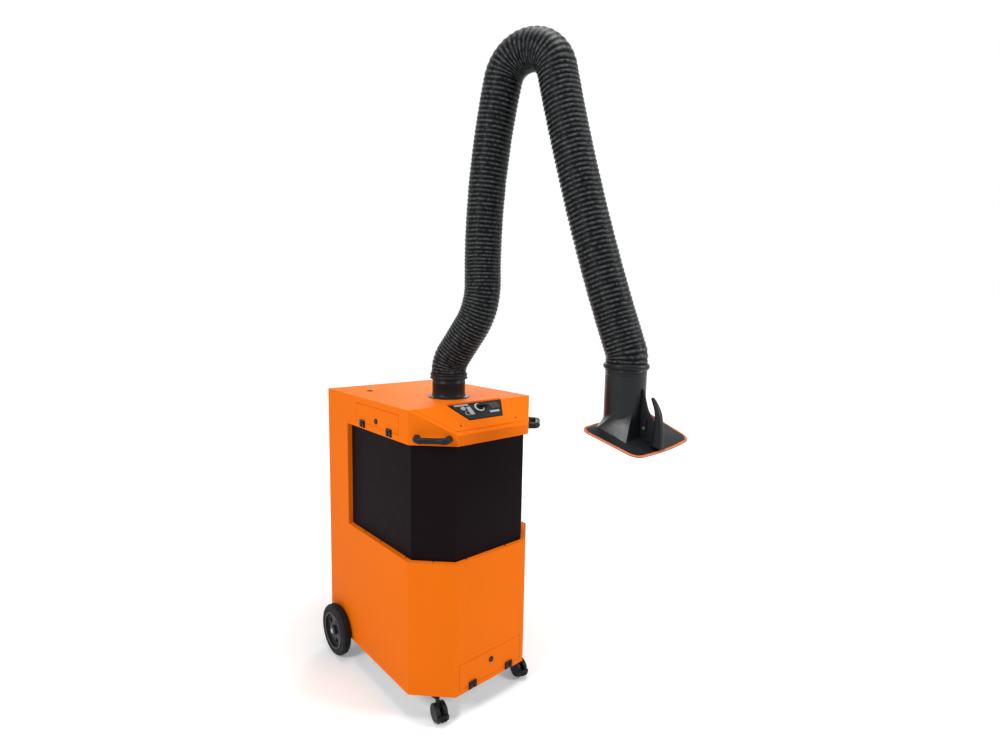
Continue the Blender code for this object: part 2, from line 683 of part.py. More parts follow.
def rear_axle():
    """The steel axle through both side walls, with a cap outside each wheel."""
    reach = REAR_WHEEL_X + REAR_WHEEL_WIDTH + SEAT_GAP
    end = reach + AXLE_CAP_LENGTH
    profile = [(0, -end), (AXLE_CAP_RADIUS, -end), (AXLE_CAP_RADIUS, -reach), (AXLE_RADIUS, -reach)]
    profile += [(radius, -x) for radius, x in profile[::-1]]
    frame = along_x(0, REAR_WHEEL_Y, AXLE_Z)
    return finish(turned("rear_axle", profile, 12, frame), BARE_STEEL, frame)


def wheel_frame(side):
    """A rear wheel's frame: its Z runs outwards from the wheel's inner face."""
    return facing((side * REAR_WHEEL_X, REAR_WHEEL_Y, AXLE_Z), (side, 0, 0))


def rear_tyre(name, side):
    """A rubber tyre with two grooves round its tread."""
    third = (REAR_WHEEL_WIDTH - 2 * TYRE_SHOULDER - 2 * TREAD_GROOVE) / 3
    outer = REAR_WHEEL_RADIUS
    profile = [(RIM_RADIUS + SEAT_GAP, 0), (outer - TYRE_SHOULDER, 0)]
    z = TYRE_SHOULDER
    for land in range(3):
        profile += [(outer, z), (outer, z + third)]
        z += third
        if land < 2:
            profile += [(outer - TREAD_GROOVE, z), (outer - TREAD_GROOVE, z + TREAD_GROOVE)]
            z += TREAD_GROOVE
    profile += [(outer - TYRE_SHOULDER, REAR_WHEEL_WIDTH), (RIM_RADIUS + SEAT_GAP, REAR_WHEEL_WIDTH)]
    return finish(turned(name, profile, WHEEL_SIDES, wheel_frame(side)), BLACK_RUBBER, wheel_frame(side))


def rear_rim(name, side):
    """A plastic wheel centre: rim, web with round openings, and hub on the axle."""
    bore = (AXLE_RADIUS + SEAT_GAP) / cos(pi / WHEEL_SIDES)
    web_low = WEB_INSET
    web_high = REAR_WHEEL_WIDTH - WEB_INSET
    lip = RIM_RADIUS - RIM_LIP
    profile = [(bore, 0), (HUB_RADIUS, 0), (HUB_RADIUS, web_low), (lip, web_low), (lip, 0), (RIM_RADIUS, 0)]
    profile += [(radius, REAR_WHEEL_WIDTH - z) for radius, z in profile[1:][::-1]]
    profile = [(r, web_high if z == REAR_WHEEL_WIDTH - web_low else z) for r, z in profile]
    profile.append((bore, REAR_WHEEL_WIDTH))
    frame = wheel_frame(side)
    rim = turned(name, profile, WHEEL_SIDES, frame)
    for i in range(HUB_HOLES):
        angle = 2 * pi * i / HUB_HOLES
        place = Matrix.Translation((HUB_HOLE_CIRCLE * cos(angle), HUB_HOLE_CIRCLE * sin(angle), 0))
        cut(rim, rod("opening", HUB_HOLE_RADIUS, -OVERRUN, REAR_WHEEL_WIDTH + OVERRUN, 8, frame @ place))
    return finish(rim, GREY_PLASTIC, frame)


CASTER_PLATE_RADIUS = 0.030
CASTER_PLATE_HEIGHT = 0.006
CASTER_RACE_RADIUS = 0.020
CASTER_RACE_HEIGHT = 0.016
CASTER_WEB = 0.012
CASTER_WHEEL_WIDTH = 0.019
CASTER_WHEEL_GAP = 0.0015
CASTER_HUB_RADIUS = 0.011
CASTER_AXLE = 0.004
CASTER_CHAMFER = 0.003
PEDAL_RADIUS = 0.0425
PEDAL_THICKNESS = 0.003
PEDAL_ARC = radians(42)
PEDAL_MIDDLE = radians(-12)
PEDAL_TIP = 0.010


def caster_frame(side):
    """A caster's frame on its swivel axis: Z up from the base's underside, -Y along its trail."""
    return Matrix.Translation((side * CASTER_X, CASTER_Y, 0)) @ Matrix.Rotation(CASTER_YAW, 4, "Z")


def caster_axle_frame(side):
    """The axle's frame: Z along the axle, X ahead along the trail and Y up."""
    place = Matrix.Translation((0, -CASTER_TRAIL, CASTER_WHEEL_RADIUS - GROUND_CLEARANCE))
    turn = Matrix(((0, 0, -1), (-1, 0, 0), (0, 1, 0))).to_4x4()
    return caster_frame(side) @ place @ turn


def caster_swivel(name, side):
    """A caster's body: a round head under the base and a web down to the axle between the wheels."""
    frame = caster_frame(side)
    race_low = -SEAT_GAP - CASTER_PLATE_HEIGHT - CASTER_RACE_HEIGHT
    profile = [
        (0, -SEAT_GAP),
        (CASTER_PLATE_RADIUS, -SEAT_GAP),
        (CASTER_PLATE_RADIUS, -SEAT_GAP - CASTER_PLATE_HEIGHT),
        (CASTER_RACE_RADIUS, race_low),
        (0, race_low),
    ]
    body = turned(name, profile, 16, frame)
    axle = caster_axle_frame(side)
    rise = GROUND_CLEARANCE - CASTER_WHEEL_RADIUS + race_low + CASTER_RACE_HEIGHT / 2
    outline = [
        (CASTER_HUB_RADIUS, 0),
        (0, -CASTER_HUB_RADIUS),
        (-CASTER_HUB_RADIUS, 0),
        (-CASTER_TRAIL - CASTER_RACE_RADIUS / 2, rise),
        (-CASTER_TRAIL + CASTER_RACE_RADIUS, rise),
    ]
    join(body, prism("web", outline, -CASTER_WEB / 2, CASTER_WEB / 2, axle))
    cut(body, hole("axle_hole", CASTER_AXLE, -OVERRUN, OVERRUN, 12, axle))
    return finish(body, BLACK_PLASTIC, frame)


def caster_wheels(name, side):
    """The twin wheels on their common axle."""
    inner = CASTER_WEB / 2 + CASTER_WHEEL_GAP
    outer = inner + CASTER_WHEEL_WIDTH
    tread = CASTER_WHEEL_RADIUS
    shoulder = tread - CASTER_CHAMFER
    half = [(CASTER_AXLE, inner), (shoulder, inner), (tread, inner + CASTER_CHAMFER)]
    half += [(tread, outer - CASTER_CHAMFER), (shoulder, outer), (0, outer)]
    profile = [(radius, -z) for radius, z in half[::-1]] + half
    frame = caster_axle_frame(side)
    return finish(turned(name, profile, 16, frame), BLACK_PLASTIC, frame)


def caster_pedal(name, side):
    """The brake pedal: a curved strip ahead of the wheels, turning about the axle, with a tread plate."""
    frame = caster_axle_frame(side)
    half = CASTER_WEB / 2 + CASTER_WHEEL_GAP + CASTER_WHEEL_WIDTH
    steps = [PEDAL_MIDDLE + PEDAL_ARC * (i / 4 - 0.5) for i in range(5)]
    inner = [(PEDAL_RADIUS * cos(a), PEDAL_RADIUS * sin(a)) for a in steps]
    outside = PEDAL_RADIUS + PEDAL_THICKNESS
    outer = [(outside * cos(a), outside * sin(a)) for a in steps]
    pedal = prism(name, inner + outer[::-1], -half, half, frame)
    lever = frame @ Matrix.Rotation(PEDAL_MIDDLE, 4, "Z")
    tread_low = (PEDAL_RADIUS, -PEDAL_THICKNESS, -half / 2)
    join(pedal, box("tread", tread_low, (outside + PEDAL_TIP, PEDAL_THICKNESS, half / 2), lever))
    tongue_low = (CASTER_HUB_RADIUS + SEAT_GAP, -PEDAL_THICKNESS, -CASTER_WEB / 2)
    tongue_high = (PEDAL_RADIUS + PEDAL_THICKNESS / 2, PEDAL_THICKNESS, CASTER_WEB / 2)
    join(pedal, box("tongue", tongue_low, tongue_high, lever))
    return finish(pedal, BLACK_PLASTIC, frame)


# Inside the cabinet

TUBE_SHEET_INSET = 0.020
TUBE_SHEET_THICKNESS = 0.003
FILTER_RADIUS = 0.150
FILTER_FLANGE_RADIUS = 0.168
FILTER_CORE_RADIUS = 0.085
FILTER_LENGTH = 0.440
FILTER_CAP = 0.012
FILTER_Y = ARM_BASE_Y
PLEATS = 24
PLEAT_DEPTH = 0.028
CLAMP_ROD = 0.006
CLAMP_BAR = 0.030
CLAMP_PLATE_RADIUS = 0.100
CLAMP_PLATE = 0.004
CLAMP_KNOB_RADIUS = 0.022
CLAMP_KNOB = 0.020
BAFFLE_HALF = 0.110
BAFFLE_HEIGHT = 0.060
BAFFLE_SHEET = 0.002
TUBE_SHEET_Z = HEAD_Z + SHEET + SEAT_GAP
FILTER_TOP_Z = TUBE_SHEET_Z - SEAT_GAP
PULSE_SIDE_INSET = 0.0825
PULSE_REAR_INSET = 0.2505
PULSE_X = -SIDE_X + PULSE_SIDE_INSET
PULSE_Y = REAR_Y - PULSE_REAR_INSET
PULSE_RADIUS = 0.011


def tube_sheet():
    """The plate over the filter, on the head's floor: air passes beside a cross bar that holds the filter."""
    outline = plan(TUBE_SHEET_INSET, RECESS_REAR_Y)
    sheet = prism("tube_sheet", outline, TUBE_SHEET_Z, TUBE_SHEET_Z + TUBE_SHEET_THICKNESS)
    centre = Matrix.Translation((0, FILTER_Y, TUBE_SHEET_Z))
    for side in (-1, 1):
        half = rod("half_hole", FILTER_CORE_RADIUS, -OVERRUN, OVERRUN, 24, centre)
        near = side * CLAMP_BAR / 2
        far = near - side * BODY_WIDTH
        low = (min(near, far), -BODY_WIDTH, -BODY_WIDTH)
        cut(half, box("bar", low, (max(near, far), BODY_WIDTH, BODY_WIDTH), centre))
        cut(sheet, half)
    cut(sheet, hole("rod_hole", CLAMP_ROD, -OVERRUN, OVERRUN, 12, centre))
    nozzle = Matrix.Translation((PULSE_X, PULSE_Y, TUBE_SHEET_Z))
    cut(sheet, rod("nozzle_hole", PULSE_RADIUS / 2, -OVERRUN, OVERRUN, 12, nozzle))
    return finish(sheet, BARE_STEEL)


def filter_cartridge():
    """The pleated filter under the tube sheet, open through its middle, with a flange and a bottom ring."""
    frame = Matrix.Translation((0, FILTER_Y, FILTER_TOP_Z - SEAT_GAP - FILTER_LENGTH))
    angles = [pi * i / PLEATS for i in range(2 * PLEATS)]
    radii = [FILTER_RADIUS - PLEAT_DEPTH * (i % 2) for i in range(2 * PLEATS)]
    outline = [(r * cos(a), r * sin(a)) for r, a in zip(radii, angles)]
    pleated = prism("filter_cartridge", outline, FILTER_CAP / 2, FILTER_LENGTH - FILTER_CAP / 2, frame)
    bottom = rod("bottom", FILTER_RADIUS + SHEET, 0, FILTER_CAP, 24, frame)
    top = rod("top", FILTER_FLANGE_RADIUS, FILTER_LENGTH - FILTER_CAP, FILTER_LENGTH, 24, frame)
    join(pleated, bottom, top)
    cut(pleated, rod("core", FILTER_CORE_RADIUS, -OVERRUN, FILTER_LENGTH + OVERRUN, 16, frame))
    return finish(pleated, FILTER_MEDIA, frame)


def filter_clamp():
    """The clamp that draws the filter up: a rod through the tube sheet's bar, a plate below and a knob."""
    head = TUBE_SHEET_Z + TUBE_SHEET_THICKNESS + SEAT_GAP - (FILTER_TOP_Z - FILTER_LENGTH)
    below = -2 * SEAT_GAP
    profile = [
        (0, head + CLAMP_ROD),
        (2 * CLAMP_ROD, head + CLAMP_ROD),
        (2 * CLAMP_ROD, head),
        (CLAMP_ROD, head),
        (CLAMP_ROD, below),
        (CLAMP_PLATE_RADIUS, below),
        (CLAMP_PLATE_RADIUS, below - CLAMP_PLATE),
        (CLAMP_KNOB_RADIUS, below - CLAMP_PLATE),
        (CLAMP_KNOB_RADIUS, below - CLAMP_PLATE - CLAMP_KNOB),
        (0, below - CLAMP_PLATE - CLAMP_KNOB),
    ]
    frame = Matrix.Translation((0, FILTER_Y, FILTER_TOP_Z - FILTER_LENGTH))
    return finish(turned("filter_clamp", profile, 12, frame), BARE_STEEL, frame)


def spark_baffle():
    """The bent plate under the arm's inlet that stops sparks, standing on the tube sheet."""
    foot = TUBE_SHEET_Z + TUBE_SHEET_THICKNESS + SEAT_GAP
    low = (-BAFFLE_HALF, ARM_BASE_Y - BAFFLE_HALF, foot)
    high = (BAFFLE_HALF, ARM_BASE_Y + BAFFLE_HALF, foot + BAFFLE_HEIGHT)
    baffle = box("spark_baffle", low, high)
    room_low = (low[0] + BAFFLE_SHEET, low[1] - OVERRUN, low[2] - OVERRUN)
    room_high = (high[0] - BAFFLE_SHEET, high[1] + OVERRUN, high[2] - BAFFLE_SHEET)
    cut(baffle, box("room", room_low, room_high))
    return finish(baffle, BARE_STEEL)


SCROLL_RADIUS = 0.150
SCROLL_WIDTH = 0.110
SCROLL_WALL = 0.002
SCROLL_Y = RECESS_REAR_Y
SCROLL_Z = 0.320
SCROLL_X = 0.035
OUTLET_HEIGHT = 0.200
FAN_INLET_RADIUS = 0.070
IMPELLER_RADIUS = 0.125
IMPELLER_WIDTH = 0.060
IMPELLER_PLATE = 0.003
IMPELLER_HUB = 0.018
BLADES = 7
BLADE_INNER = 0.060
BLADE_THICKNESS = 0.003
BLADE_LEAN = radians(35)
MOTOR_RADIUS = 0.070
MOTOR_LENGTH = 0.150
MOTOR_SHAFT = 0.007
MOTOR_FOOT_HALF = 0.050
FAN_CLEARANCE = 0.012
FAN_FRAME = along_x(SCROLL_X, SCROLL_Y, SCROLL_Z)
SCROLL_FOOT = 0.020


def scroll_outline(inset):
    """A snail outline about the fan's axis (X down, Y to the rear), ending in the outlet at the rear panel."""
    radius = SCROLL_RADIUS - inset
    outlet_top = radius - OUTLET_HEIGHT + 2 * inset
    reach = REAR_Y - SHEET - SCROLL_Y
    end = reach if inset == 0 else reach + OVERRUN
    sweep = acos(outlet_top / radius) - 2 * pi
    arc = [(radius * cos(sweep * i / 16), radius * sin(sweep * i / 16)) for i in range(17)]
    return [(outlet_top, end), (radius, end)] + arc


def fan_scroll():
    """The fan's sheet housing with its side inlet and the outlet to the rear panel's slots, on two feet."""
    low = -SCROLL_WIDTH / 2
    scroll = prism("fan_scroll", scroll_outline(0), low, -low, FAN_FRAME)
    room = prism("room", scroll_outline(SCROLL_WALL), low + SCROLL_WALL, -low - SCROLL_WALL, FAN_FRAME)
    cut(scroll, room)
    cut(scroll, rod("inlet", FAN_INLET_RADIUS, low - OVERRUN, low + OVERRUN, 20, FAN_FRAME))
    shaft_hole = rod("shaft_hole", MOTOR_SHAFT + SHEET, -low - OVERRUN, -low + OVERRUN, 12, FAN_FRAME)
    cut(scroll, shaft_hole)
    drop = SCROLL_Z - SHEET - SEAT_GAP
    depth = SCROLL_RADIUS - SCROLL_WALL / 2
    for side in (-1, 1):
        near = side * (SCROLL_WIDTH / 2 - SCROLL_FOOT / 2)
        foot_low = (depth, -SCROLL_FOOT, near - SCROLL_WALL)
        join(scroll, box("foot", foot_low, (drop, SCROLL_FOOT, near + SCROLL_WALL), FAN_FRAME))
    return finish(scroll, BARE_STEEL, FAN_FRAME)


def fan_motor():
    """The motor beside the housing: barrel, shaft into the impeller and a foot to the floor plate."""
    face = SCROLL_WIDTH / 2 + SEAT_GAP
    tip = SCROLL_WIDTH / 2 - FAN_CLEARANCE - IMPELLER_WIDTH
    motor = rod("fan_motor", MOTOR_RADIUS, face, face + MOTOR_LENGTH, 20, FAN_FRAME)
    join(motor, rod("shaft", MOTOR_SHAFT, tip, face + SHEET, 12, FAN_FRAME))
    drop = SCROLL_Z - SHEET - SEAT_GAP
    middle = face + MOTOR_LENGTH / 2
    foot_low = (MOTOR_RADIUS - SHEET, -MOTOR_FOOT_HALF, middle - MOTOR_FOOT_HALF)
    join(motor, box("foot", foot_low, (drop, MOTOR_FOOT_HALF, middle + MOTOR_FOOT_HALF), FAN_FRAME))
    return finish(motor, BARE_STEEL, FAN_FRAME)


def impeller():
    """The fan wheel: back plate, hub on the motor's shaft and leaning blades."""
    back = SCROLL_WIDTH / 2 - FAN_CLEARANCE
    front = back - IMPELLER_WIDTH
    wheel = rod("impeller", IMPELLER_RADIUS, back - IMPELLER_PLATE, back, 28, FAN_FRAME)
    join(wheel, rod("hub", IMPELLER_HUB, front + IMPELLER_HUB, back - IMPELLER_PLATE / 2, 16, FAN_FRAME))
    for i in range(BLADES):
        turn = Matrix.Rotation(2 * pi * i / BLADES, 4, "Z") @ Matrix.Translation((BLADE_INNER, 0, 0))
        turn = FAN_FRAME @ turn @ Matrix.Rotation(BLADE_LEAN, 4, "Z")
        length = IMPELLER_RADIUS - BLADE_INNER
        low = (0, -BLADE_THICKNESS / 2, front)
        join(wheel, box("blade", low, (length, BLADE_THICKNESS / 2, back - IMPELLER_PLATE / 2), turn))
    cut(wheel, hole("bore", MOTOR_SHAFT, front - OVERRUN, back + OVERRUN, 12, FAN_FRAME))
    return finish(wheel, ORANGE_PAINT, FAN_FRAME)


TANK_RADIUS = 0.050
TANK_LENGTH = 0.300
TANK_SADDLE = 0.020
TANK_STUB = 0.010
VALVE_RADIUS = 0.022
VALVE_HEIGHT = 0.030
BOX_SIZE = (0.090, 0.220, 0.160)
BOX_GAP = 0.015
BOX_Y = SCROLL_Y - MOTOR_RADIUS - BOX_GAP - BOX_SIZE[1] / 2
BOX_Z = 0.380


def air_tank():
    """The compressed-air tank for cleaning the filter: barrel, stub to the rear inlet, and wall saddles."""
    stub_end = -SHEET - SEAT_GAP
    tank_end = GLAND_THREAD + SEAT_GAP + TANK_STUB
    frame = along_y(AIR_INLET_X, REAR_Y + SEAT_GAP + SHEET, INLET_Z)
    tank = rod("air_tank", TANK_RADIUS, tank_end, tank_end + TANK_LENGTH, 16, frame)
    join(tank, rod("stub", TANK_STUB, GLAND_THREAD + SEAT_GAP, tank_end + TANK_STUB, 12, frame))
    wall = AIR_INLET_X + SIDE_X + stub_end
    for place in (1, 3):
        middle = tank_end + TANK_LENGTH * place / 4
        low = (-wall, -TANK_SADDLE, middle - TANK_SADDLE / 2)
        join(tank, box("saddle", low, (-TANK_RADIUS / 2, TANK_SADDLE, middle + TANK_SADDLE / 2), frame))
    return finish(tank, BARE_STEEL, frame)


def pulse_pipe():
    """The valve on the tank and the pipe up to the filter's tube sheet."""
    seat = INLET_Z + TANK_RADIUS + SEAT_GAP
    low = Matrix.Translation((AIR_INLET_X, PULSE_Y, seat))
    pipe = rod("pulse_pipe", VALVE_RADIUS, 0, VALVE_HEIGHT, 12, low)
    rise = FILTER_TOP_Z - SEAT_GAP - seat
    shift = PULSE_X - AIR_INLET_X
    knee = VALVE_HEIGHT + VALVE_RADIUS - shift
    line = [Vector((0, 0, VALVE_HEIGHT / 2)), Vector((0, 0, VALVE_HEIGHT + VALVE_RADIUS))]
    line += [Vector((shift, 0, knee)), Vector((shift, 0, rise))]
    join(pipe, tube("riser", line, [PULSE_RADIUS] * len(line), 10, Vector((0, 1, 0)), low))
    return finish(pipe, BARE_STEEL, low)


def electronics_box():
    """The closed box for the controls, on the right wall of the lower room."""
    wide, deep, high = BOX_SIZE
    wall = SIDE_X - SHEET - SEAT_GAP
    low = (wall - wide, BOX_Y - deep / 2, BOX_Z - high / 2)
    return finish(box("electronics_box", low, (wall, BOX_Y + deep / 2, BOX_Z + high / 2)), GREY_PLASTIC)


# Arm

ARM_FRAME = Matrix.Translation((0, ARM_BASE_Y, TOP_Z)) @ Matrix.Rotation(ARM_TURN, 4, "Z")
WRIST_BEND = pi - FOOT_BEND + SHOULDER_BEND - LOWER_ARM_BOW - ELBOW_BEND + UPPER_ARM_BOW
FOOT_START = COLLAR_HEIGHT + SWIVEL_HEIGHT + 2 * SEAT_GAP
FLANGE_RADIUS = 0.0925
FLANGE_THICKNESS = 0.004
SPIGOT_DEPTH = 0.020
RING_LIP = 0.007
RING_SIDES = 24
SPIDER_WIDTH = 0.010
SPIDER_HEIGHT = 0.018
STRUT_RADIUS = 0.0125
EYE_RADIUS = 0.022
EYE_THICKNESS = 0.016
EAR_THICKNESS = 0.006
PIN_RADIUS = 0.006
KNUCKLE_REACH = 0.048
FORK_ROOT = 0.034
FORK_HALF = 0.0165
SHOULDER_STRETCH = 0.240
ELBOW_STRETCH = 0.260
WRIST_STRETCH = 0.140

# Each stretch of the hose's route is a length and the turn it makes, out from upright.
ROUTE = [
    (FOOT_STRAIGHT, 0),
    (FOOT_BEND_RADIUS * FOOT_BEND, FOOT_BEND),
    (FOOT_REACH, 0),
    (SHOULDER_BEND_RADIUS * SHOULDER_BEND, -SHOULDER_BEND),
    (LOWER_ARM, LOWER_ARM_BOW),
    (ELBOW_BEND_RADIUS * ELBOW_BEND, ELBOW_BEND),
    (UPPER_ARM, -UPPER_ARM_BOW),
    (WRIST_BEND_RADIUS * WRIST_BEND, WRIST_BEND),
    (WRIST_STRAIGHT, 0),
]
STRUT_SPACING = 0.070
ROUTE_LENGTH = sum(length for length, turn in ROUTE)
SHOULDER_AT = FOOT_STRAIGHT + FOOT_BEND_RADIUS * FOOT_BEND + FOOT_REACH + SHOULDER_BEND_RADIUS * SHOULDER_BEND / 2
ELBOW_START = SHOULDER_AT + SHOULDER_BEND_RADIUS * SHOULDER_BEND / 2 + LOWER_ARM
ELBOW_AT = ELBOW_START + ELBOW_BEND_RADIUS * (pi / 2 - (FOOT_BEND - SHOULDER_BEND + LOWER_ARM_BOW))
WRIST_AT = ROUTE_LENGTH - WRIST_STRETCH / 2


def route(distance):
    """The point at a distance along the hose's middle line, in the arm's frame, and its heading."""
    point = Vector((0, 0, 0))
    heading = 0
    left = distance
    for length, turn in ROUTE:
        run = min(left, length)
        rate = turn / length
        if rate == 0:
            point += run * Vector((sin(heading), 0, cos(heading)))
        else:
            after = heading + rate * run
            point += Vector((cos(heading) - cos(after), 0, sin(after) - sin(heading))) / rate
            heading = after
        left -= run
        if left <= 0:
            break
    return point, heading


def route_line(start, end, spacing):
    """Points along the route, evenly spaced."""
    steps = max(1, round((end - start) / spacing))
    return [route(start + (end - start) * i / steps)[0] for i in range(steps + 1)]


def knuckle_frame(distance):
    """A hinge's frame on the route: Z across the arm, X ahead along the route."""
    point, heading = route(distance)
    ahead = Vector((sin(heading), 0, cos(heading)))
    across = Vector((0, 1, 0))
    turn = Matrix((ahead, across.cross(ahead), across)).transposed()
    return ARM_FRAME @ Matrix.Translation(point) @ turn.to_4x4()


def knuckle_plate(name, direction, low, high, frame):
    """A flat bar that is round about the hinge and runs ahead or back along the arm."""
    angles = [pi / 2 + pi * i / 8 for i in range(9)]
    nose = [(EYE_RADIUS * cos(a), EYE_RADIUS * sin(a)) for a in angles]
    outline = nose + [(KNUCKLE_REACH, -STRUT_RADIUS), (KNUCKLE_REACH, STRUT_RADIUS)]
    return prism(name, [(direction * x, y) for x, y in outline], low, high, frame)


def add_fork(carrier, distance):
    """Joins a fork to a strut's end: two ears, the root that ties them and the hinge's pin."""
    frame = knuckle_frame(distance)
    inside = EYE_THICKNESS / 2 + SEAT_GAP
    outside = inside + EAR_THICKNESS
    middle = (inside + outside) / 2
    root_low = (-KNUCKLE_REACH - STRUT_RADIUS / 2, -FORK_HALF, -middle)
    join(carrier, box("root", root_low, (-FORK_ROOT, FORK_HALF, middle), frame))
    for low, high in ((-outside, -inside), (inside, outside)):
        join(carrier, knuckle_plate("ear", -1, low, high, frame))
    join(carrier, rod("pin", PIN_RADIUS, -outside - PIN_RADIUS / 2, outside + PIN_RADIUS / 2, 12, frame))
    return carrier


def add_eye(carrier, distance):
    """Joins the eye that turns on a fork's pin to the strut behind it."""
    frame = knuckle_frame(distance)
    half = EYE_THICKNESS / 2
    join(carrier, knuckle_plate("eye", 1, -half, half, frame))
    cut(carrier, hole("bore", PIN_RADIUS, -OVERRUN, OVERRUN, 12, frame))
    return carrier


def strut_bar(name, start, end):
    """The steel tube of a strut, following the hose's middle line."""
    line = route_line(start, end, STRUT_SPACING)
    return tube(name, line, [STRUT_RADIUS] * len(line), 8, Vector((0, 1, 0)), ARM_FRAME)


def ring_profile(bottom, height, outer, spigot):
    """A ring with a lip below that turns inside the duct under it."""
    inner = HOSE_BORE_RADIUS
    lip = (DUCT_RADIUS - DUCT_WALL) * cos(pi / RING_SIDES) - SEAT_GAP
    return [
        (inner, bottom - spigot),
        (lip, bottom - spigot),
        (lip, bottom),
        (outer - RING_LIP / 2, bottom),
        (outer, bottom + height / 4),
        (outer, bottom + height * 3 / 4),
        (outer - RING_LIP / 2, bottom + height),
        (inner, bottom + height),
    ]


def arm_flange():
    """The flange on the cabinet's top with the fixed duct collar and the spigot into the head."""
    inner = DUCT_RADIUS - DUCT_WALL
    profile = [
        (inner, -SPIGOT_DEPTH),
        (DUCT_RADIUS, -SPIGOT_DEPTH),
        (DUCT_RADIUS, SEAT_GAP),
        (FLANGE_RADIUS, SEAT_GAP),
        (FLANGE_RADIUS, FLANGE_THICKNESS),
        (DUCT_RADIUS, FLANGE_THICKNESS),
        (DUCT_RADIUS, COLLAR_HEIGHT),
        (inner, COLLAR_HEIGHT),
    ]
    return finish(turned("arm_flange", profile, RING_SIDES, ARM_FRAME), BLACK_PLASTIC, ARM_FRAME)


def swivel_collar():
    """The turning ring on the collar, with a cross bar, the arm's bent post and the shoulder's fork."""
    bottom = COLLAR_HEIGHT + SEAT_GAP
    profile = ring_profile(bottom, SWIVEL_HEIGHT, HOSE_CREST_RADIUS + RING_LIP / 2, SPIGOT_DEPTH)
    collar = turned("swivel_collar", profile, RING_SIDES, ARM_FRAME)
    bar_low = (-SPIDER_WIDTH / 2, -HOSE_BORE_RADIUS - DUCT_WALL / 3, bottom + SPIDER_HEIGHT / 4)
    bar_high = (SPIDER_WIDTH / 2, HOSE_BORE_RADIUS + DUCT_WALL / 3, bottom + SPIDER_HEIGHT)
    join(collar, box("bar", bar_low, bar_high, ARM_FRAME))
    join(collar, strut_bar("post", bottom + SPIDER_HEIGHT / 4, SHOULDER_AT - KNUCKLE_REACH))
    return finish(add_fork(collar, SHOULDER_AT), BLACK_PLASTIC, ARM_FRAME)


def lower_strut():
    """The strut inside the rising hose: eye on the shoulder's pin, fork at the elbow."""
    strut = strut_bar("lower_strut", SHOULDER_AT + FORK_ROOT, ELBOW_AT - KNUCKLE_REACH)
    add_fork(strut, ELBOW_AT)
    return finish(add_eye(strut, SHOULDER_AT), BARE_STEEL, knuckle_frame(SHOULDER_AT))


def upper_strut():
    """The strut inside the falling hose: eye on the elbow's pin, fork at the wrist."""
    strut = strut_bar("upper_strut", ELBOW_AT + FORK_ROOT, WRIST_AT - KNUCKLE_REACH)
    add_fork(strut, WRIST_AT)
    return finish(add_eye(strut, ELBOW_AT), BARE_STEEL, knuckle_frame(ELBOW_AT))


BORE_STEP = 3


def hose(name, start, end):
    """One stretch of the ribbed hose: a crest and a valley for each rib, with a plain bore cut out."""
    ribs = round((end - start) / RIB_PITCH)
    line = [route(start)[0]]
    radii = [HOSE_VALLEY_RADIUS]
    for i in range(ribs):
        for share, radius in ((0.5, HOSE_CREST_RADIUS), (1.0, HOSE_VALLEY_RADIUS)):
            line.append(route(start + (end - start) * (i + share) / ribs)[0])
            radii.append(radius)
    stretch = tube(name, line, radii, 8, Vector((0, 1, 0)), ARM_FRAME)
    bore = line[::2 * BORE_STEP]
    if len(line) % (2 * BORE_STEP) != 1:
        bore.append(line[-1])
    bore[0] = bore[0] + OVERRUN * (line[0] - line[1]).normalized()
    bore[-1] = bore[-1] + OVERRUN * (line[-1] - line[-2]).normalized()
    cut(stretch, tube("bore", bore, [HOSE_BORE_RADIUS] * len(bore), 8, Vector((0, 1, 0)), ARM_FRAME))
    return finish(stretch, HOSE_FABRIC, knuckle_frame((start + end) / 2))


# Hood

HOOD_COLLAR_HEIGHT = 0.024
HOOD_SPIGOT = 0.007
HOOD_TUBE_RADIUS = 0.079
HOOD_WALL = 0.004
HOOD_TUBE_LENGTH = 0.190
HOOD_FLARE = 0.058
HOOD_FLARE_RADIUS = 0.086
PLATE_DROP = 0.274
PLATE_OFFSET_X = 0.024
PLATE_OFFSET_Y = -0.042
PLATE_HALF_X = 0.168
PLATE_HALF_Y = 0.122
PLATE_CORNER = 0.050
PLATE_TILT = radians(18)
PLATE_ROLL = radians(-5.7)
PLATE_CONE = 0.014
EDGE_TRIM = 0.008
CORNER_STEPS = 4
FLAP_DROP = 0.102
FLAP_RADIUS = 0.068
FLAP_THICKNESS = 0.002
FLAP_SHAFT = 0.003
LEVER_LENGTH = 0.045
LEVER_WIDTH = 0.012
LEVER_THICKNESS = 0.005
# The grip's middle line, from its free tip to the mouth plate: out from the tube's axis, down from the ring, radius.
GRIP = [
    (0.1235, 0.123, 0.006),
    (0.131, 0.133, 0.009),
    (0.140, 0.149, 0.011),
    (0.151, 0.178, 0.012),
    (0.155, 0.207, 0.0125),
    (0.155, 0.252, 0.014),
    (0.149, 0.296, 0.016),
]
# The fin between the tube and the grip, as its outline in the same measures.
FIN = [
    (0.077, 0.091),
    (0.087, 0.096),
    (0.096, 0.134),
    (0.108, 0.169),
    (0.130, 0.200),
    (0.148, 0.229),
    (0.150, 0.290),
    (0.139, 0.288),
    (0.077, 0.214),
]
FIN_HALF = 0.005

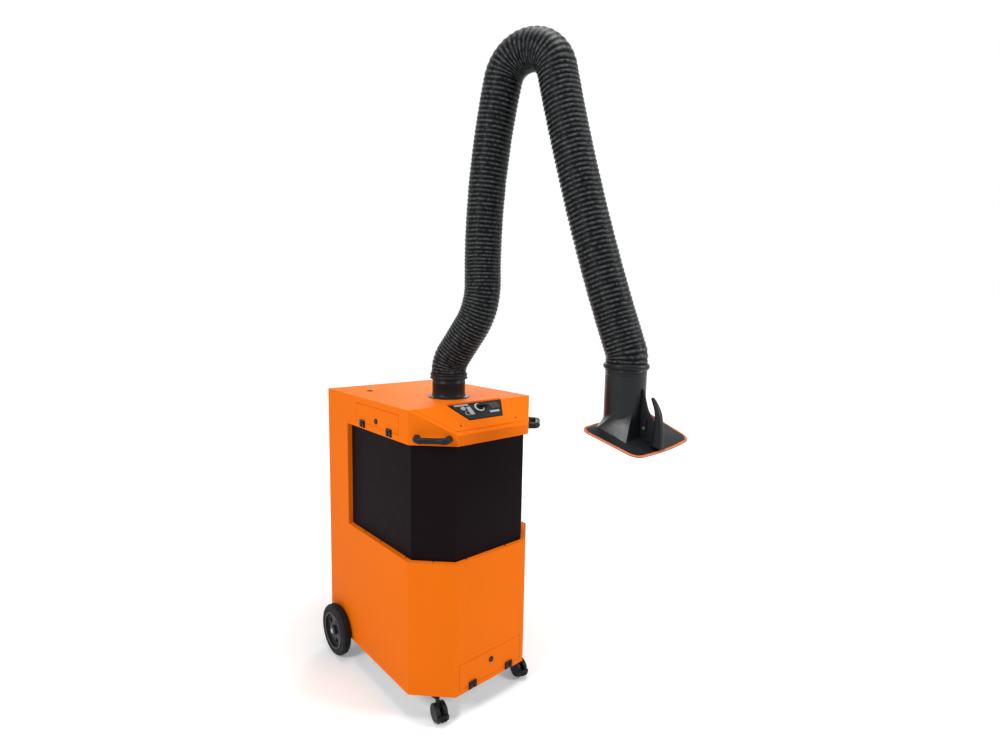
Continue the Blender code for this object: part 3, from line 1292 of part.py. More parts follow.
HOOD_END = route(ROUTE_LENGTH)[0]
HOOD_FRAME = Matrix.Translation(ARM_FRAME @ HOOD_END)
PLATE_FRAME = HOOD_FRAME @ Matrix.Translation((PLATE_OFFSET_X, PLATE_OFFSET_Y, -PLATE_DROP))
PLATE_FRAME = PLATE_FRAME @ Matrix.Rotation(PLATE_TILT, 4, "X") @ Matrix.Rotation(PLATE_ROLL, 4, "Y")
HOOD_TOP = -2 * SEAT_GAP - HOOD_COLLAR_HEIGHT


def hood_neck():
    """The hood's fixed ring with its cross bar and the stem up to the eye on the wrist's pin."""
    bottom = HOOD_TOP + SEAT_GAP
    profile = ring_profile(bottom, HOOD_COLLAR_HEIGHT, HOOD_TUBE_RADIUS + RING_LIP, HOOD_SPIGOT)
    neck = turned("hood_neck", profile, RING_SIDES, HOOD_FRAME)
    cross = HOOD_FRAME @ Matrix.Rotation(ARM_TURN, 4, "Z")
    bar_low = (-SPIDER_WIDTH / 2, -HOSE_BORE_RADIUS - DUCT_WALL / 3, bottom)
    bar_high = (SPIDER_WIDTH / 2, HOSE_BORE_RADIUS + DUCT_WALL / 3, bottom + SPIDER_HEIGHT)
    join(neck, box("bar", bar_low, bar_high, cross))
    join(neck, strut_bar("stem", WRIST_AT + FORK_ROOT, ROUTE_LENGTH))
    join(neck, rod("foot", STRUT_RADIUS, bottom + SPIDER_HEIGHT / 2, 0, 10, HOOD_FRAME))
    return finish(add_eye(neck, WRIST_AT), BLACK_PLASTIC, knuckle_frame(WRIST_AT))


def hood_ring(radius, z):
    """A round ring of the hood's tube."""
    return [HOOD_FRAME @ Vector((x, y, z)) for x, y in corner_ring(radius, radius, radius, CORNER_STEPS)]


def plate_ring(half_x, half_y, corner, z):
    """A rounded ring square to the hood's tilted mouth."""
    return [PLATE_FRAME @ Vector((x, y, z)) for x, y in corner_ring(half_x, half_y, corner, CORNER_STEPS)]


def hood_shell():
    """The moulded hood: tube, flare and wide tilted mouth plate in one wall, with the fin and the grip in front."""
    low = HOOD_TOP - HOOD_TUBE_LENGTH
    inner = HOOD_TUBE_RADIUS - HOOD_WALL
    flare = HOOD_FLARE_RADIUS
    mouth = flare - HOOD_WALL
    cone = PLATE_CONE + HOOD_WALL
    neck_out = hood_ring(HOOD_TUBE_RADIUS, low)
    neck_in = hood_ring(inner, low)
    foot_out = plate_ring(flare + cone, flare + cone, flare + cone, cone)
    foot_in = plate_ring(mouth + cone, mouth + cone, mouth + cone, PLATE_CONE)
    edge_x = PLATE_HALF_X - HOOD_WALL
    edge_y = PLATE_HALF_Y - HOOD_WALL
    rings = [
        hood_ring(HOOD_TUBE_RADIUS, HOOD_TOP),
        neck_out,
        foot_out,
        plate_ring(PLATE_HALF_X, PLATE_HALF_Y, PLATE_CORNER, HOOD_WALL / 2),
        plate_ring(PLATE_HALF_X, PLATE_HALF_Y, PLATE_CORNER, -HOOD_WALL / 2),
        plate_ring(edge_x, edge_y, PLATE_CORNER, -HOOD_WALL / 2),
        foot_in,
        neck_in,
        hood_ring(inner, HOOD_TOP),
    ]
    shell = loft("hood_shell", rings, closed=True)
    upright = HOOD_FRAME @ Matrix.Rotation(-pi / 2, 4, "Y")
    fin = [(-down, -out) for out, down in FIN]
    join(shell, prism("fin", fin, -FIN_HALF, FIN_HALF, upright))
    line = [Vector((0, -out, -down)) for out, down, radius in GRIP]
    radii = [radius for out, down, radius in GRIP]
    join(shell, tube("grip", line, radii, 10, Vector((1, 0, 0)), HOOD_FRAME))
    clear = rod("clear", inner, low, HOOD_TOP, 4 * CORNER_STEPS, HOOD_FRAME)
    cut(shell, clear)
    shaft = HOOD_FRAME @ Matrix.Translation((0, 0, -FLAP_DROP)) @ Matrix.Rotation(pi / 2, 4, "Y")
    reach = HOOD_TUBE_RADIUS + OVERRUN
    cut(shell, hole("shaft_hole", FLAP_SHAFT, -reach, reach, 10, shaft))
    return finish(shell, BLACK_PLASTIC, HOOD_FRAME)


def hood_edge_trim():
    """The orange rubber edge round the hood's mouth plate."""
    near = SEAT_GAP
    far = EDGE_TRIM
    half = EDGE_TRIM / 2
    rings = []
    for out, z in ((near, -half), (far, -half), (far, half), (near, half)):
        rings.append(plate_ring(PLATE_HALF_X + out, PLATE_HALF_Y + out, PLATE_CORNER + out, z))
    return finish(loft("hood_edge_trim", rings, closed=True), ORANGE_RUBBER, PLATE_FRAME)


def throttle_flap():
    """The round flap in the hood's tube, its shaft through both walls and the lever outside."""
    frame = HOOD_FRAME @ Matrix.Translation((0, 0, -FLAP_DROP)) @ Matrix.Rotation(pi / 2, 4, "Y")
    face = frame @ Matrix.Rotation(pi / 2, 4, "X")
    flap = rod("throttle_flap", FLAP_RADIUS, -FLAP_THICKNESS / 2, FLAP_THICKNESS / 2, 20, face)
    outside = HOOD_TUBE_RADIUS + SEAT_GAP
    join(flap, rod("shaft", FLAP_SHAFT, -outside, outside + LEVER_THICKNESS / 2, 10, frame))
    low = (-LEVER_WIDTH / 2, -LEVER_WIDTH / 2, outside)
    high = (LEVER_LENGTH, LEVER_WIDTH / 2, outside + LEVER_THICKNESS)
    join(flap, box("lever", low, high, frame))
    return finish(flap, BLACK_PLASTIC, frame)


# Assembly

cabinet_shell()
floor_plate()
rear_panel()
side_panel("side_panel_left", -1)
side_panel("side_panel_right", 1)
front_panel()
console_plate()
control_panel()
main_switch()
push_button("button_start", START_BUTTON)
push_button("button_stop", STOP_BUTTON)
bow_handle("handle_left", -1)
bow_handle("handle_right", 1)
rear_fitting("mains_gland", GLAND_X, BLACK_PLASTIC, GLAND_TAIL_RADIUS)
rear_fitting("air_connector", AIR_INLET_X, BARE_STEEL, GLAND_TAIL_RADIUS * 2 / 3)
hatch_door()
lock("hatch_lock", HATCH_LOCK_FRAME)
for latch_name, latch_shift in zip(("hatch_latch_rear", "hatch_latch_front"), HATCH_LATCH_SHIFTS):
    latch_rise = LATCH_HEIGHT / 2 - LATCH_AXIS_INSET - HATCH_LATCH_DROP
    latch(latch_name, HATCH_FRAME @ Matrix.Translation((-latch_shift, latch_rise, 0)))
drawer_front()
dust_bin()
lock("drawer_lock", DRAWER_LOCK_FRAME)
for latch_name, latch_side in (("drawer_latch_left", -1), ("drawer_latch_right", 1)):
    latch_rise = LATCH_HEIGHT / 2 - LATCH_AXIS_INSET + DRAWER_LATCH_RISE
    latch(latch_name, DRAWER_FRAME @ Matrix.Translation((latch_side * DRAWER_LATCH_X, latch_rise, 0)))
rear_axle()
for side_name, side_sign in (("left", -1), ("right", 1)):
    rear_tyre("tyre_" + side_name, side_sign)
    rear_rim("rim_" + side_name, side_sign)
    caster_swivel("caster_swivel_" + side_name, side_sign)
    caster_wheels("caster_wheels_" + side_name, side_sign)
    caster_pedal("caster_pedal_" + side_name, side_sign)
tube_sheet()
filter_cartridge()
filter_clamp()
spark_baffle()
fan_scroll()
fan_motor()
impeller()
air_tank()
pulse_pipe()
electronics_box()
arm_flange()
swivel_collar()
lower_strut()
upper_strut()
hose("hose_shoulder", FOOT_START, SHOULDER_AT + SHOULDER_STRETCH - SEAT_GAP)
hose("hose_lower", SHOULDER_AT + SHOULDER_STRETCH, ELBOW_AT - ELBOW_STRETCH - SEAT_GAP)
hose("hose_elbow", ELBOW_AT - ELBOW_STRETCH, ELBOW_AT + ELBOW_STRETCH - SEAT_GAP)
hose("hose_upper", ELBOW_AT + ELBOW_STRETCH, WRIST_AT - WRIST_STRETCH - SEAT_GAP)
hose("hose_wrist", WRIST_AT - WRIST_STRETCH, ROUTE_LENGTH)
hood_neck()
hood_shell()
hood_edge_trim()
throttle_flap()
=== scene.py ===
# %% [markdown]
# A mobile welding fume extractor, dressed for a render.
# The machine is a folded sheet-metal cabinet on wheels. A filter, a fan and a dust drawer are inside it.
# A ribbed hose on a self-holding arm leads from its top to a moulded hood.
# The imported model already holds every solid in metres, and knows which piece turns on which joint.
# This lesson keeps that frame and gives each surface the shape and finish that a photograph would show.

# %% Load the machine
import json
from math import acos, atan2, cos, hypot, pi, radians, sin, sqrt

import bmesh
import bpy
from mathutils import Matrix, Vector, noise


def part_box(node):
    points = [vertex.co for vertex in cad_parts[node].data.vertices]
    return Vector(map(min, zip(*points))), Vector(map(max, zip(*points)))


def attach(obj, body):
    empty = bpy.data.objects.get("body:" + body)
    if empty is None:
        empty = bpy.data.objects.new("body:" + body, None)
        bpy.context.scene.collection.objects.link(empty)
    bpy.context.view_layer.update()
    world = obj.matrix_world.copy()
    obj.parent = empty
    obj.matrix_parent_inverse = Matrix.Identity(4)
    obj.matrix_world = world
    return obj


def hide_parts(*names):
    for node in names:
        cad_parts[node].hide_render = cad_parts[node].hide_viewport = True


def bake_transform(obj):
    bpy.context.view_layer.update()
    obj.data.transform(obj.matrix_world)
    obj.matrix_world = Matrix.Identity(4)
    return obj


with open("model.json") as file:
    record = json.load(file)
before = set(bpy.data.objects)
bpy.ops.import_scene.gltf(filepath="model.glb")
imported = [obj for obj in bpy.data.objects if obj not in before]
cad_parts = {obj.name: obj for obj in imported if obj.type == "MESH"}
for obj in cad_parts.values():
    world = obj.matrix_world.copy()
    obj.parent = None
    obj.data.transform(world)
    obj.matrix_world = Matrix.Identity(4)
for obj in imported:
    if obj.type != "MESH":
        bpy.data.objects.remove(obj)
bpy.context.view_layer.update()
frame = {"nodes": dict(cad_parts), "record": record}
nodes = frame["nodes"]

# %% [markdown]
# The sizes that many pieces share come first: the cabinet, its corner cuts and its slope.

# %% Sizes of the cabinet
FLOOR_Z = -0.114
SHELL_LOW, SHELL_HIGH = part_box("cabinet_shell")
SIDE_X = SHELL_HIGH.x
FRONT_Y = SHELL_LOW.y
REAR_Y = SHELL_HIGH.y
TOP_Z = SHELL_HIGH.z
LEDGE_Z = 0.588
CORNER_CUT = 0.143
SLOPE_Z = 1.126
SLOPE_RUN = 0.143
SLOPE_TILT = atan2(TOP_Z - SLOPE_Z, SLOPE_RUN)
SLOPE_FRAME = Matrix.Translation((0, FRONT_Y, SLOPE_Z)) @ Matrix.Rotation(SLOPE_TILT, 4, "X")
print("cabinet:", round(2 * SIDE_X, 3), "x", round(REAR_Y - FRONT_Y, 3), "x", round(TOP_Z, 3), "m")

# %% [markdown]
# The photograph was taken from the front left, a little above the cabinet's top.
# The camera's place was worked out from the cabinet's own corners: it is a point and three axes.
# A small sideways shift stands for the crop of the picture.

# %% Camera
PICTURE_WIDTH = 1000
FOCAL_PIXELS = 549.355
CENTRE_SHIFT_PIXELS = 5.2
CAMERA_AT = (-1.49296, -2.14222, 1.628)
CAMERA_RIGHT = Vector((0.75468, -0.65584, 0.01797))
CAMERA_UP = Vector((0.06439, 0.1013, 0.99277))
CAMERA_AHEAD = Vector((0.65292, 0.74807, -0.11868))

camera_data = bpy.data.cameras.new("camera")
camera_data.sensor_width = 36
camera_data.lens = camera_data.sensor_width * FOCAL_PIXELS / PICTURE_WIDTH
camera_data.shift_x = CENTRE_SHIFT_PIXELS / PICTURE_WIDTH
camera = bpy.data.objects.new("camera", camera_data)
bpy.context.scene.collection.objects.link(camera)
camera_turn = Matrix((CAMERA_RIGHT, CAMERA_UP, -CAMERA_AHEAD)).transposed()
camera.matrix_world = Matrix.Translation(CAMERA_AT) @ camera_turn.to_4x4()
bpy.context.scene.camera = camera
print("lens:", round(camera_data.lens, 2), "mm")

# %% [markdown]
# Materials are made of nodes, and each node needs its inputs set and its sockets linked.
# Three small helpers keep that short. A fourth tells the eye's own rays from the rays of the soft light.

# %% Helpers for nodes


def set_inputs(node, values):
    """Gives values to inputs of a node, by their names."""
    for name, value in values.items():
        node.inputs[name].default_value = value
    return node


def add_node(tree, kind, values=None):
    """A new shader node with some of its inputs set."""
    return set_inputs(tree.nodes.new("ShaderNode" + kind), values or {})


def wire(tree, *pairs):
    """Links each output to its input."""
    for output, goal in pairs:
        tree.links.new(output, goal)


def seen_directly(tree):
    """One for the eye, for gloss and for what is seen through; nothing for the soft fill light."""
    path = add_node(tree, "LightPath")
    total = path.outputs["Is Camera Ray"]
    for ray in ("Is Glossy Ray", "Is Transmission Ray"):
        either = add_node(tree, "Math")
        either.operation = "MAXIMUM"
        wire(tree, (total, either.inputs[0]), (path.outputs[ray], either.inputs[1]))
        total = either.outputs[0]
    return total


print("helpers for nodes ready")

# %% [markdown]
# A product picture has no visible room. The floor and the backdrop are one plain pale colour.
# To the camera, and in gloss, the floor shows as white, except where the machine shades it.
# Its own glow grows with the distance, so that the shadow stays and the horizon is lost.
# Four large soft lamps light the machine: from the left, from the front right, from above and from behind.

# %% Floor, background and lamps
WHITE = (1, 1, 1, 1)
FLOOR_PALE = (0.95, 0.95, 0.95, 1)
FLOOR_SIZE = 30
FLOOR_GLOW = {"From Min": 0.8, "From Max": 3.2, "To Min": 0.16, "To Max": 0.8}
FILL_STRENGTH = 0.3


def link(obj):
    """Puts a new object into the scene."""
    bpy.context.scene.collection.objects.link(obj)
    return obj


def studio_floor():
    """A wide pale floor under the wheels that keeps the machine's shadow."""
    build = bmesh.new()
    bmesh.ops.create_grid(build, x_segments=1, y_segments=1, size=FLOOR_SIZE / 2)
    mesh = bpy.data.meshes.new("studio_floor")
    build.to_mesh(mesh)
    build.free()
    floor = link(bpy.data.objects.new("studio_floor", mesh))
    floor.location.z = FLOOR_Z
    paint = bpy.data.materials.new("studio_floor")
    paint.use_nodes = True
    mesh.materials.append(paint)
    tree = paint.node_tree
    shader = tree.nodes["Principled BSDF"]
    set_inputs(shader, {"Base Color": FLOOR_PALE, "Roughness": 0.9, "Specular IOR Level": 0.1})
    place = add_node(tree, "TexCoord")
    reach = add_node(tree, "VectorMath")
    reach.operation = "LENGTH"
    fade = add_node(tree, "MapRange", FLOOR_GLOW)
    glow = add_node(tree, "Emission", {"Color": WHITE})
    both = add_node(tree, "AddShader")
    pick = add_node(tree, "MixShader")
    wire(
        tree,
        (place.outputs["Object"], reach.inputs[0]),
        (reach.outputs["Value"], fade.inputs["Value"]),
        (fade.outputs["Result"], glow.inputs["Strength"]),
        (shader.outputs[0], both.inputs[0]),
        (glow.outputs[0], both.inputs[1]),
        (seen_directly(tree), pick.inputs[0]),
        (shader.outputs[0], pick.inputs[1]),
        (both.outputs[0], pick.inputs[2]),
        (pick.outputs[0], tree.nodes["Material Output"].inputs["Surface"]),
    )
    return floor


def soft_lamp(name, place, aim, size, power):
    """A large square lamp that looks at a point."""
    data = bpy.data.lights.new(name, "AREA")
    data.shape = "SQUARE"
    data.size = size
    data.energy = power
    lamp = link(bpy.data.objects.new(name, data))
    lamp.location = place
    lamp.rotation_mode = "QUATERNION"
    lamp.rotation_quaternion = (Vector(aim) - Vector(place)).to_track_quat("-Z", "Y")
    return lamp


def studio_world():
    """A white background for the eye and for gloss, with a soft fill light behind it."""
    world = bpy.data.worlds.new("studio")
    bpy.context.scene.world = world
    world.use_nodes = True
    tree = world.node_tree
    soft = set_inputs(tree.nodes["Background"], {"Color": WHITE, "Strength": FILL_STRENGTH})
    white = add_node(tree, "Background", {"Color": WHITE, "Strength": 1.0})
    pick = add_node(tree, "MixShader")
    wire(
        tree,
        (seen_directly(tree), pick.inputs[0]),
        (soft.outputs[0], pick.inputs[1]),
        (white.outputs[0], pick.inputs[2]),
        (pick.outputs[0], tree.nodes["World Output"].inputs["Surface"]),
    )
    return world


studio_floor()
studio_world()
soft_lamp("key_left", (-3.7, -0.6, 3.1), (0, -0.3, 1.1), 1.2, 92)
soft_lamp("fill_right", (2.4, -3.7, 2.7), (0.1, -0.4, 1.1), 1.4, 92)
soft_lamp("top_light", (0.2, -0.8, 5.2), (0, -0.2, 0), 2.2, 122)
soft_lamp("rim_back", (2.4, 2.8, 3.0), (0.1, -0.2, 1.4), 1.6, 40)
bpy.context.scene.view_settings.view_transform = "Standard"

# %% [markdown]
# A finish is more than one colour. Powder coat has a fine orange-peel skin, moulded plastic has a grain,
# and sheet steel keeps the lines of its rolling. Each finish is made of three noises in the object's own
# space: a slow one lets the colour drift, a middle one changes the gloss, and a fine one gives the relief.
# Values that are the same all over stay on the shader itself.

# %% A helper for finishes
GLOSS_SCALE = 45.0


def noise_value(tree, vector, scale, detail=2.0):
    """The value of a noise at a vector, about one half on average."""
    made = add_node(tree, "TexNoise", {"Scale": scale, "Detail": detail})
    tree.links.new(vector, made.inputs["Vector"])
    return made.outputs["Fac"]


def ranged(tree, value, low, high):
    """A noise's value spread over a range of its own."""
    made = add_node(tree, "MapRange", {"From Min": 0.3, "From Max": 0.7, "To Min": low, "To Max": high})
    tree.links.new(value, made.inputs["Value"])
    return made.outputs["Result"]


def finish(name, colour, drift, rough, grain, metallic=0.0, stretch=(1, 1, 1), drift_scale=5.0, shine=0.5):
    """A material: colour and drift, low and high roughness, and a grain as noise scale and height."""
    made = bpy.data.materials.new(name)
    made.use_nodes = True
    made.diffuse_color = (*colour, 1)
    tree = made.node_tree
    shader = set_inputs(tree.nodes["Principled BSDF"], {"Metallic": metallic, "Specular IOR Level": shine})
    place = add_node(tree, "TexCoord")
    stretched = add_node(tree, "Mapping", {"Scale": stretch})
    vector = stretched.outputs["Vector"]
    tint = add_node(tree, "Mix")
    tint.data_type = "RGBA"
    pale = [min(1, c * (1 + drift)) for c in colour]
    set_inputs(tint, {"A": (*[c * (1 - drift) for c in colour], 1), "B": (*pale, 1)})
    relief = add_node(tree, "Bump", {"Strength": 0.6, "Distance": grain[1]})
    gloss = ranged(tree, noise_value(tree, vector, GLOSS_SCALE, 3.0), *rough)
    wire(
        tree,
        (place.outputs["Object"], stretched.inputs["Vector"]),
        (noise_value(tree, vector, drift_scale, 3.0), tint.inputs["Factor"]),
        (tint.outputs["Result"], shader.inputs["Base Color"]),
        (gloss, shader.inputs["Roughness"]),
        (noise_value(tree, vector, grain[0], 4.0), relief.inputs["Height"]),
        (relief.outputs["Normal"], shader.inputs["Normal"]),
    )
    return made


print("helper for finishes ready")

# %% [markdown]
# The solids wear ten finishes. The hood and the screws have one of their own, and a few fittings get
# theirs further on. The orange and the anthracite are matt powder coats.
# The hose is black coated fabric; its crests get a painted highlight, paler grey in short broken dashes.
# With one colour its ribs would have to be told apart by light alone, and they are too fine for that.
# So each hose mesh carries a value, crest, that the finish reads. The colours were judged.

# %% Finishes
ANTHRACITE = (0.008, 0.0048, 0.0062)
PLASTIC = (0.007, 0.0082, 0.0095)
FABRIC = (0.0012, 0.0015, 0.0017)
# Painted highlight: the paler grey that the hose's crests are painted in.
CREST_HIGHLIGHT_GREY = (0.11, 0.12, 0.124)
HIGHLIGHT_DASH_SCALE = 75.0
ORANGE_COAT = finish("orange_coat", (0.88, 0.17, 0.004), 0.03, (0.52, 0.6), (420, 0.0002), shine=0.05)
ANTHRACITE_COAT = finish("anthracite_coat", ANTHRACITE, 0.08, (0.56, 0.64), (520, 0.00018), shine=0.035)
BLACK_PLASTIC = finish("black_plastic", PLASTIC, 0.12, (0.34, 0.44), (750, 0.0002), shine=0.16)
HOOD_PLASTIC = finish("hood_plastic", PLASTIC, 0.12, (0.27, 0.34), (750, 0.0002), shine=0.26)
GREY_PLASTIC = finish("grey_plastic", (0.34, 0.35, 0.36), 0.05, (0.38, 0.5), (700, 0.00015))
TYRE_RUBBER = finish("tyre_rubber", (0.01, 0.01, 0.011), 0.15, (0.6, 0.8), (600, 0.0003), shine=0.2)
ORANGE_RUBBER = finish("orange_rubber", (0.52, 0.14, 0.052), 0.08, (0.45, 0.62), (500, 0.0002))
SHEET_STEEL = finish("sheet_steel", (0.5, 0.51, 0.53), 0.08, (0.28, 0.44), (220, 0.0001), 1.0, (1, 1, 14))
CAST_ALLOY = finish("cast_alloy", (0.62, 0.63, 0.64), 0.06, (0.34, 0.5), (380, 0.0002), 1.0)
FILTER_CLOTH = finish("filter_cloth", (0.72, 0.69, 0.62), 0.08, (0.8, 0.95), (900, 0.00035))
HOSE_FABRIC = finish("hose_fabric", FABRIC, 0.25, (0.26, 0.38), (1500, 0.0003), drift_scale=60, shine=0.07)
SCREW_STEEL = finish("screw_steel", (0.03, 0.03, 0.033), 0.1, (0.3, 0.45), (300, 0.0001), 0.6)


def paint_crest_highlights(paint, pale):
    """Paints a highlight on a finish, paler in short broken dashes, where the mesh's crest value is high.
    """
    tree = paint.node_tree
    base = tree.nodes["Principled BSDF"].inputs["Base Color"]
    ground = base.links[0].from_socket
    crest = add_node(tree, "Attribute")
    crest.attribute_name = "crest"
    place = add_node(tree, "TexCoord")
    dashes = ranged(tree, noise_value(tree, place.outputs["Object"], HIGHLIGHT_DASH_SCALE), 0.05, 1.0)
    share = add_node(tree, "Math")
    share.operation = "MULTIPLY"
    # This mix lays the painted highlight over the fabric's own colour.
    highlight_mix = add_node(tree, "Mix")
    highlight_mix.data_type = "RGBA"
    set_inputs(highlight_mix, {"B": (*pale, 1)})
    wire(
        tree,
        (crest.outputs["Fac"], share.inputs[0]),
        (dashes, share.inputs[1]),
        (share.outputs[0], highlight_mix.inputs["Factor"]),
        (ground, highlight_mix.inputs["A"]),
        (highlight_mix.outputs["Result"], base),
    )


# The hose's crests get their painted highlight.
paint_crest_highlights(HOSE_FABRIC, CREST_HIGHLIGHT_GREY)
SLOT_FINISH = {
    "orange_paint": ORANGE_COAT,
    "anthracite_paint": ANTHRACITE_COAT,
    "bare_steel": SHEET_STEEL,
    "motor_alloy": CAST_ALLOY,
    "black_plastic": BLACK_PLASTIC,
    "grey_plastic": GREY_PLASTIC,
    "tyre_rubber": TYRE_RUBBER,
    "orange_rubber": ORANGE_RUBBER,
    "filter_media": FILTER_CLOTH,
    "hose_fabric": HOSE_FABRIC,
}
PAINT_SLOT = {paint.name: slot for slot, paint in SLOT_FINISH.items()}
# The lug's finish is black plastic with a painted highlight, so it counts as black plastic.
PAINT_SLOT |= {"screw_steel": "bare_steel", "lug_highlight_plastic": "black_plastic"}
PAINT_SLOT |= {"dark_glass": "black_plastic", "light_plastic": "grey_plastic"}
BODY_OF_NODE = {n: body for body, held in frame["record"]["behaviour"]["bodies"].items() for n in held}
SLOT_OF_NODE = {row["node"]: row["material_slot"] for row in frame["record"]["subparts"]}
for node_name, solid in nodes.items():
    for socket in solid.material_slots:
        socket.material = SLOT_FINISH[SLOT_OF_NODE[node_name]]
print("finishes:", len(SLOT_FINISH), "on", len(nodes), "solids")

# %% [markdown]
# Two helpers make every new piece. The first turns a bmesh into an object with a finish and a body.
# The second is for sheet metal and hard mouldings whose solid already has the right shape: it takes a copy,
# joins the triangles back into whole faces and rounds the sharp edges, because no real edge is a knife.
# The rounded copy then stands for the solid.

# %% Helpers for pieces
SHARP_FROM = radians(35)
ROUNDED_FROM = radians(32)
SAME_POINT = 0.00001
SAME_PLANE = radians(0.5)


def piece(name, build, paint, body, stands_for=None, smooth=SHARP_FROM, slot=None):
    """A painted object on its body, which hides the solid that it stands for; slot is not used."""
    bmesh.ops.recalc_face_normals(build, faces=build.faces)
    mesh = bpy.data.meshes.new(name)
    build.to_mesh(mesh)
    build.free()
    mesh.materials.append(paint)
    mesh.shade_smooth()
    mesh.set_sharp_from_angle(angle=smooth)
    made = link(bpy.data.objects.new(name, mesh))
    if body:
        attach(made, body)
    if stands_for:
        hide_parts(stands_for)
    return made


def soften(made, width, segments=2):
    """Rounds the sharp edges of a piece and keeps its flat faces flat in the light."""
    rounding = made.modifiers.new("rounding", "BEVEL")
    rounding.width = width
    rounding.segments = segments
    rounding.limit_method = "ANGLE"
    rounding.angle_limit = ROUNDED_FROM
    rounding.harden_normals = True
    return made


def softened_copy(node_name, width, paint=None):
    """A copy of a solid with rounded edges, in the solid's own place, which stands for it."""
    build = bmesh.new()
    build.from_mesh(nodes[node_name].data)
    bmesh.ops.remove_doubles(build, verts=build.verts, dist=SAME_POINT)
    bmesh.ops.dissolve_limit(build, angle_limit=SAME_PLANE, verts=build.verts, edges=build.edges)
    paint = paint or SLOT_FINISH[SLOT_OF_NODE[node_name]]
    return soften(piece(node_name + "_skin", build, paint, BODY_OF_NODE[node_name], node_name), width)


print("helpers for pieces ready")

# %% [markdown]
# Most new shapes are skins: rings of points, one after another, joined by faces.
# A ring is an outline in a frame's XY plane at some height, so a turned part, a pulled outline and a block
# are all made by the same few lines.

# %% Helpers for skins
SIDEWAYS = Matrix(((0, 0, 1, 0), (1, 0, 0, 0), (0, 1, 0, 0), (0, 0, 0, 1)))


def loft(build, rings, closed_ends=True, closed_loop=False):
    """Skins rings of equal counts, one after another, and caps the ends if asked."""
    rows = [[build.verts.new(point) for point in ring] for ring in rings]
    pairs = list(zip(rows, rows[1:]))
    if closed_loop:
        pairs.append((rows[-1], rows[0]))
    for first, second in pairs:
        count = len(first)
        for i in range(count):
            j = (i + 1) % count
            build.faces.new((first[i], first[j], second[j], second[i]))
    if closed_ends and not closed_loop:
        build.faces.new(rows[0])
        build.faces.new(rows[-1])
    return rows


def circle(radius, sides):
    """Points round a circle."""
    angles = [2 * pi * i / sides for i in range(sides)]
    return [(radius * cos(a), radius * sin(a)) for a in angles]


def placed(outline, height, place):
    """An outline of a frame's XY plane, at a height over it."""
    return [place @ Vector((x, y, height)) for x, y in outline]


def skinned_piece(name, rings, *look, closed_loop=True, **more):
    """A piece of one skin; the rest is passed on to piece."""
    build = bmesh.new()
    loft(build, rings, closed_loop=closed_loop)
    return piece(name, build, *look, **more)


def turned(profile, sides, place):
    """The rings of a profile of (radius, height) turned about a frame's Z."""
    return [placed(circle(radius, sides), z, place) for radius, z in profile]


def extrude_outline(build, outline, low, high, place=Matrix()):
    """An outline in a frame's XY plane, from low to high along its Z."""
    return loft(build, [placed(outline, z, place) for z in (low, high)])


def block(build, low, high, place=Matrix()):
    """A block between two corners of a frame."""
    outline = [(low[0], low[1]), (high[0], low[1]), (high[0], high[1]), (low[0], high[1])]
    return extrude_outline(build, outline, low[2], high[2], place)


def block_piece(name, blocks, place, *look, **more):
    """A piece of blocks, each between two corners of a frame; the rest is passed on to piece."""
    build = bmesh.new()
    for low, high in blocks:
        block(build, low, high, place)
    return piece(name, build, *look, **more)


def facing(place, outward):
    """A frame at a place: Z outwards, X level, Y upwards."""
    out = Vector(outward).normalized()
    right = Vector((0, 0, 1)).cross(out).normalized()
    return Matrix.Translation(place) @ Matrix((right, out.cross(right), out)).transposed().to_4x4()


def rounded_outline(corners, steps=6):
    """A closed outline of corners (x, y, radius) with each corner turned into an arc."""
    points = []
    for i, (x, y, radius) in enumerate(corners):
        here = Vector((x, y))
        before = (Vector(corners[i - 1][:2]) - here).normalized()
        after = (Vector(corners[(i + 1) % len(corners)][:2]) - here).normalized()
        half = acos(max(-1, min(1, before.dot(after)))) / 2
        reach = radius * cos(half) / max(sin(half), 0.01)
        centre = here + (before + after).normalized() * (radius / max(sin(half), 0.01))
        start = here + before * reach - centre
        turn = start.angle_signed(here + after * reach - centre)
        for k in range(steps + 1):
            offset = Matrix.Rotation(-turn * k / steps, 2) @ start
            points.append((centre.x + offset.x, centre.y + offset.y))
    return points


print("helpers for skins ready")

# %% [markdown]
# The hose is the machine's long black line. A steel wire is wound inside a coated fabric.
# Over each turn of wire the fabric stands out, and between two turns it falls in and puckers.
# It could be a bevelled curve with a rib texture, but a texture leaves the outline smooth.
# Here each rib is real mesh: six rings a rib, pushed in and out, with a little noise for the puckers.
# The middle line repeats the route of the model: straight stretches and arcs, all in one upright plane.

# %% Route of the hose
ARM_FOOT = Matrix.Translation((0, FRONT_Y + 0.3305, TOP_Z))
ARM_FRAME = ARM_FOOT @ Matrix.Rotation(radians(-70), 4, "Z")
ROUTE = [
    (0.119, 0), (0.13 * radians(35.2), radians(35.2)), (0.154, 0),
    (0.331 * radians(36.6), radians(-36.6)), (0.827, radians(14.2)),
    (0.123 * radians(154.3), radians(154.3)), (1.125, radians(-7.3)),
    (0.11 * radians(20.2), radians(20.2)), (0.015, 0),
]
ROUTE_LENGTH = sum(length for length, turn in ROUTE)
HOSE_START = 0.112
SHOULDER_AT = 0.45861
ELBOW_AT = 1.55715
WRIST_AT = ROUTE_LENGTH - 0.07


